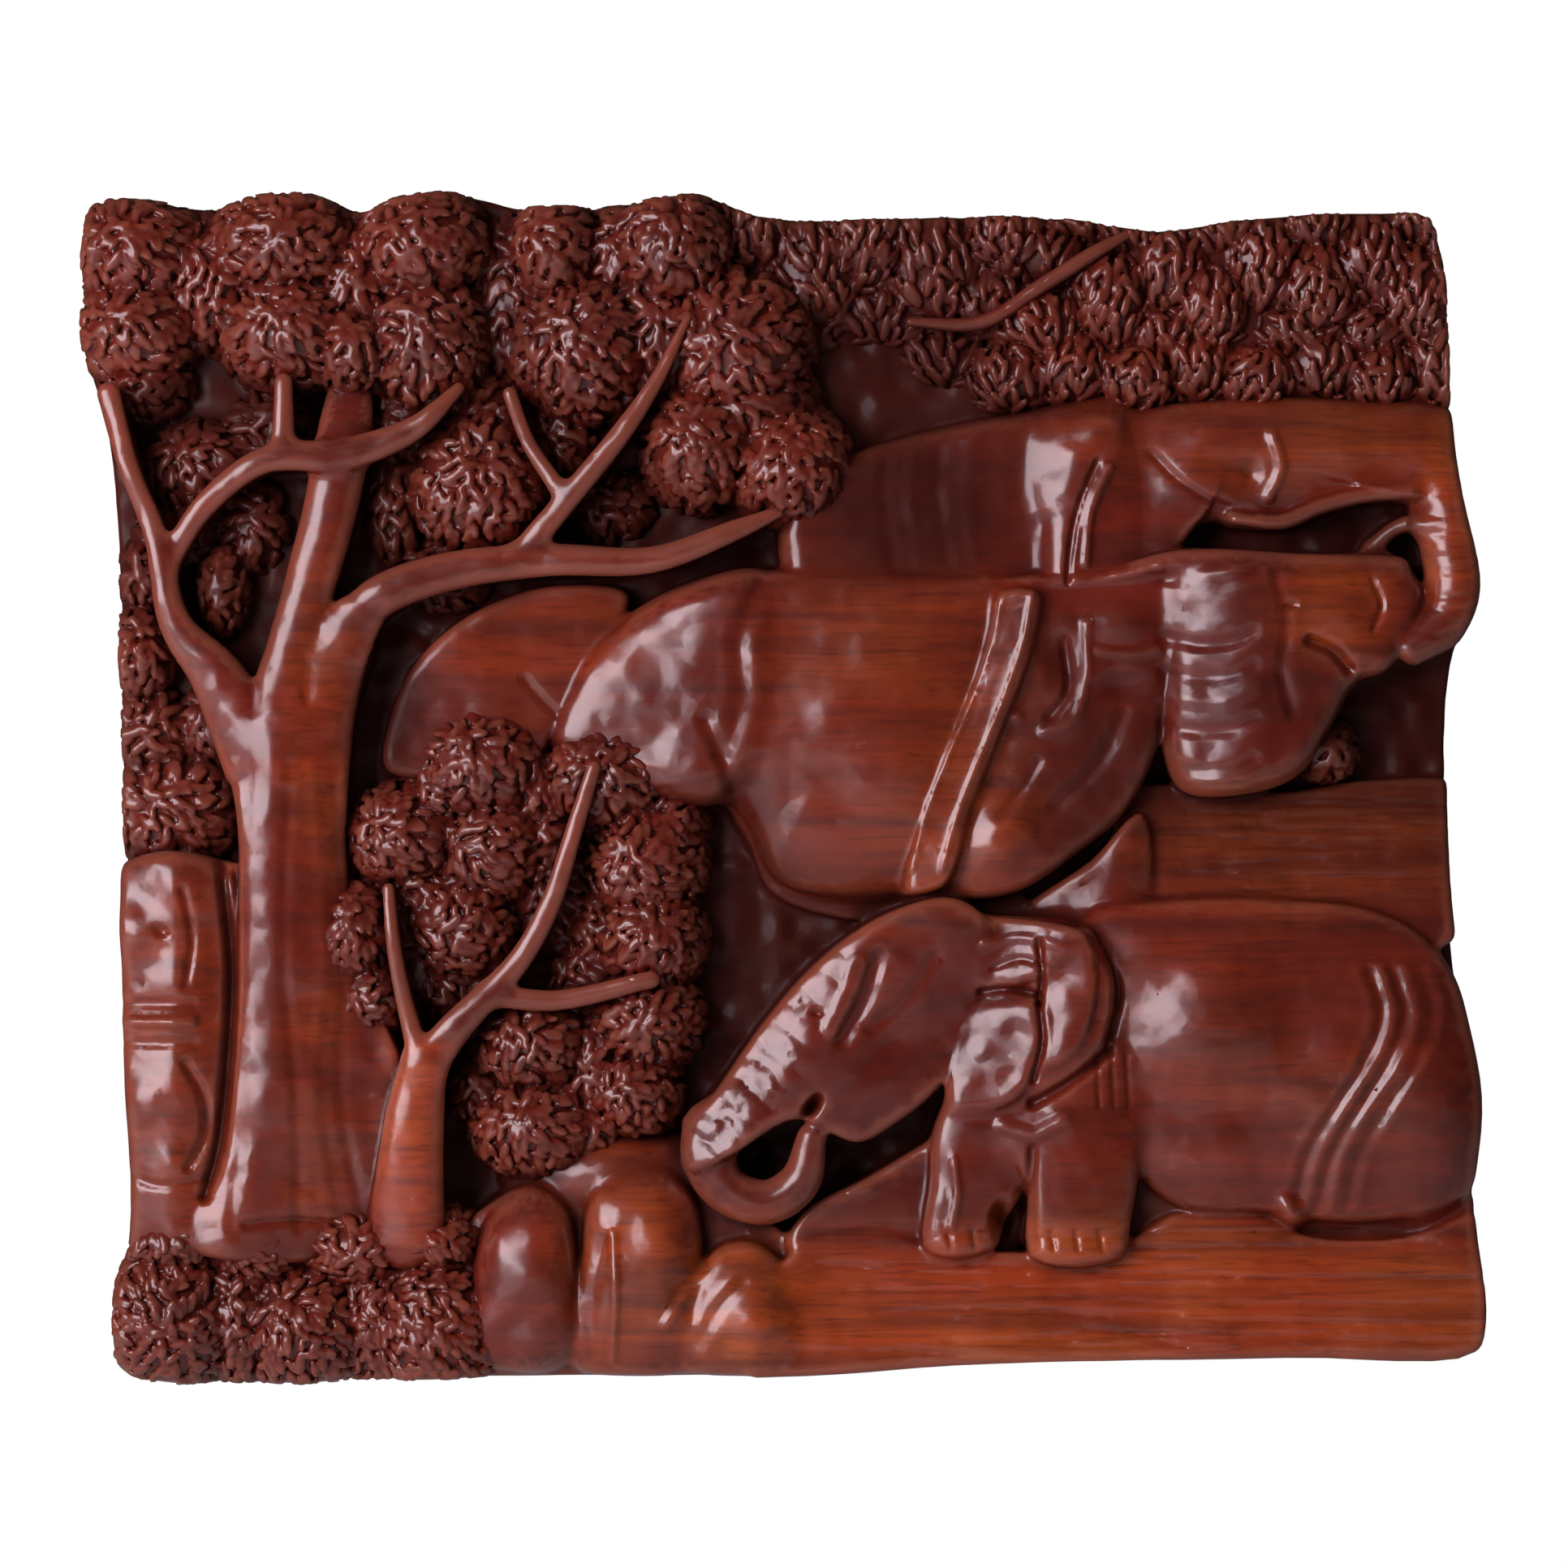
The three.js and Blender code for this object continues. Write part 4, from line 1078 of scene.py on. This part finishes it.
def carved_wood():
    """Reddish-brown hardwood under gloss varnish, stained and painted with shade nearly black where it is cut
    deep, with rims painted lighter.
    """
    material = bpy.data.materials.new("carved_wood")
    material.use_nodes = True
    nodes, links = material.node_tree.nodes, material.node_tree.links
    shader = nodes["Principled BSDF"]
    for name, value in (("IOR", 1.5), ("Specular IOR Level", 0.06), ("Coat Roughness", 0.23)):
        shader.inputs[name].default_value = value

    def add(kind, **settings):
        node = nodes.new(kind)
        for key, value in settings.items():
            setattr(node, key, value)
        return node

    def plug(node, values):
        """Sets or links a node's inputs, by number or by name."""
        for name, value in values.items():
            if isinstance(value, bpy.types.NodeSocket):
                links.new(value, node.inputs[name])
            else:
                node.inputs[name].default_value = value

    def math_node(operation, *values):
        node = add("ShaderNodeMath", operation=operation)
        plug(node, dict(enumerate(values)))
        return node.outputs[0]

    def mix(share, a, b):
        node = add("ShaderNodeMix", data_type="RGBA")
        plug(node, {0: share, 6: a, 7: b})
        return node.outputs[2]

    def noise(scale, detail, stretch=(1, 1, 1), distortion=0.0):
        mapping, node = add("ShaderNodeMapping"), add("ShaderNodeTexNoise")
        plug(mapping, {"Scale": stretch, "Vector": place.outputs["Object"]})
        plug(node, {"Scale": scale, "Detail": detail, "Distortion": distortion, "Vector": mapping.outputs[0]})
        return node.outputs["Fac"]

    def ramp(value, low, high):
        node = add("ShaderNodeMapRange")
        plug(node, {"Value": value, "From Min": low, "From Max": high})
        return node.outputs[0]

    place = add("ShaderNodeTexCoord")
    depth, warmth, edge_wear_and_highlight = (add("ShaderNodeAttribute", attribute_name=name).outputs["Fac"]
                                for name in ("depth", "warmth", "edge_wear_and_highlight"))

    grain = ramp(noise(26, 5, (0.35, 3, 5), 0.6), 0.35, 0.7)
    pores = ramp(noise(90, 3, (0.5, 6, 9)), 0.52, 0.72)
    clouds = ramp(noise(11, 3), 0.3, 0.7)
    patches = math_node("MULTIPLY", ramp(noise(21, 4, (0.7, 1, 1.3)), 0.42, 0.66), warmth)

    red_brown = (0.124, 0.0112, 0.0038, 1)
    deep_red = (0.068, 0.0062, 0.0032, 1)
    worn_orange = (0.235, 0.030, 0.0052, 1)
    streak = (0.040, 0.0062, 0.0040, 1)
    # Near-black brown laid by the depth mask: stain in the hollows and painted shade.
    stain_and_shade = (0.026, 0.0050, 0.0036, 1)
    amber = (0.33, 0.082, 0.010, 1)
    # Pale pinkish brown on raised rims: rubbed wear and painted highlight.
    rubbed_and_highlit = (0.26, 0.085, 0.050, 1)
    wood = mix(warmth, mix(clouds, deep_red, red_brown), worn_orange)
    for layer, strength, color in ((patches, 0.55, amber), (grain, 0.7, streak), (pores, 0.5, streak),
                                   (edge_wear_and_highlight, 0.3, rubbed_and_highlit)):
        wood = mix(math_node("MULTIPLY", layer, strength), wood, color)

    bump = add("ShaderNodeBump")
    relief = math_node("ADD", math_node("MULTIPLY", noise(160, 4, (0.3, 1, 2)), 0.6), noise(45, 4))
    plug(bump, {"Strength": 0.45, "Distance": 0.0006, "Height": relief})
    # The depth mask darkens the colour with stain and painted shade, and thins the coat there as well.
    plug(shader, {
        "Base Color": mix(depth, wood, stain_and_shade),
        "Coat Weight": math_node("MULTIPLY_ADD", depth, -0.8, 0.76),
        "Roughness": math_node("MULTIPLY_ADD", clouds, 0.12, 0.38),
        "Normal": bump.outputs[0],
    })
    return material


def studio(centre):
    """Pale floor, even pale surroundings and a window-like soft light from the left."""
    scene = bpy.context.scene
    scene.view_settings.view_transform = "Standard"

    world = bpy.data.worlds.new("studio")
    world.use_nodes = True
    scene.world = world
    nodes, links = world.node_tree.nodes, world.node_tree.links

    def background(node, color, strength):
        node.inputs["Color"].default_value = (*color, 1)
        node.inputs["Strength"].default_value = strength
        return node.outputs[0]

    seen = background(nodes["Background"], (1, 1, 1), 1.0)
    surface = background(nodes.new("ShaderNodeBackground"), (0.93, 0.95, 1.0), 0.17)
    mirrored = background(nodes.new("ShaderNodeBackground"), (0.8, 0.85, 1.0), 0.035)
    path = nodes.new("ShaderNodeLightPath")
    for ray, shown in (("Is Glossy Ray", mirrored), ("Is Camera Ray", seen)):
        choose = nodes.new("ShaderNodeMixShader")
        for socket, source in zip(choose.inputs, (path.outputs[ray], surface, shown)):
            links.new(source, socket)
        surface = choose.outputs[0]
    links.new(surface, nodes["World Output"].inputs["Surface"])

    soft_light("window", centre, direction=(-0.64, -0.74, 0.18), distance=1.5, size=(0.9, 0.8),
               power=32, color=(1.0, 0.88, 0.95))
    soft_light("ceiling", centre, direction=(0.15, -0.65, 0.85), distance=1.8, size=(0.9, 0.5),
               power=4, color=(1.0, 0.96, 0.92), mirrored=False)

    floor_plane()


def soft_light(name, centre, direction, distance, size, power, color, mirrored=True):
    data = bpy.data.lights.new(name, "AREA")
    data.shape = "RECTANGLE"
    data.size, data.size_y = size
    data.energy = power
    data.color = color
    light = bpy.data.objects.new(name, data)
    way = Vector(direction).normalized()
    light.location = centre + way * distance
    light.rotation_mode = "QUATERNION"
    light.rotation_quaternion = way.to_track_quat("Z", "Y")
    light.visible_glossy = mirrored
    bpy.context.collection.objects.link(light)


def floor_plane():
    """A floor 0.46 m under the hanging point, which runs on behind the panel and far in front."""
    drop, side, front, back = -0.46, 1.6, -1.9, 0.4
    mesh = bpy.data.meshes.new("floor")
    mesh.from_pydata([(-side, front, drop), (side, front, drop), (side, back, drop), (-side, back, drop)],
                     [], [(0, 1, 2, 3)])
    floor = bpy.data.objects.new("floor", mesh)
    bpy.context.collection.objects.link(floor)
    material = bpy.data.materials.new("pale floor")
    material.use_nodes = True
    shader = material.node_tree.nodes["Principled BSDF"]
    shader.inputs["Base Color"].default_value = (0.82, 0.81, 0.8, 1)
    shader.inputs["Roughness"].default_value = 0.7
    mesh.materials.append(material)
    return floor


def make_camera():
    """Straight in front of the panel, framed as in the photograph."""
    frame_width = 0.5216
    middle = (233.8, 198.7, 30.0)
    lens, sensor = 120, 36
    data = bpy.data.cameras.new("camera")
    data.lens, data.sensor_width = lens, sensor
    camera = bpy.data.objects.new("camera", data)
    target = Vector(to_world(np.array([middle]))[0])
    camera.location = target + Vector((0, -frame_width * lens / sensor, 0))
    camera.rotation_euler = (math.pi / 2, 0, 0)
    bpy.context.collection.objects.link(camera)
    bpy.context.scene.camera = camera
    return target


def main():
    body_field = carved_body()
    groups = (("crown_leaves", CROWN_BALLS + BACK_BALLS, LEAF_CUT),
              ("small_tree_leaves", SMALL_TREE_BALLS, LEAF_CUT), ("low_leaves", LOW_BALLS, LEAF_CUT),
              ("hedge_leaves", HEDGE_BALLS, CHIP_CUT))
    leafy = {name: foliage(balls, cut, SEED + i) for i, (name, balls, cut) in enumerate(groups)}
    shading = Shading(body_field, leafy.values())
    material = carved_wood()

    body = build_mesh("carved_relief", body_field, BODY_TRIANGLES)
    shading.mark(body, 0)
    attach(body, "root")
    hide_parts("carved_panel")
    pieces = [body]
    for name, field in leafy.items():
        piece = build_mesh(name, field, LEAF_TRIANGLES)
        shading.mark(piece, 0.7)
        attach(piece, "root")
        pieces.append(piece)
    for piece in pieces:
        piece.data.materials.append(material)

    studio(make_camera())


main()
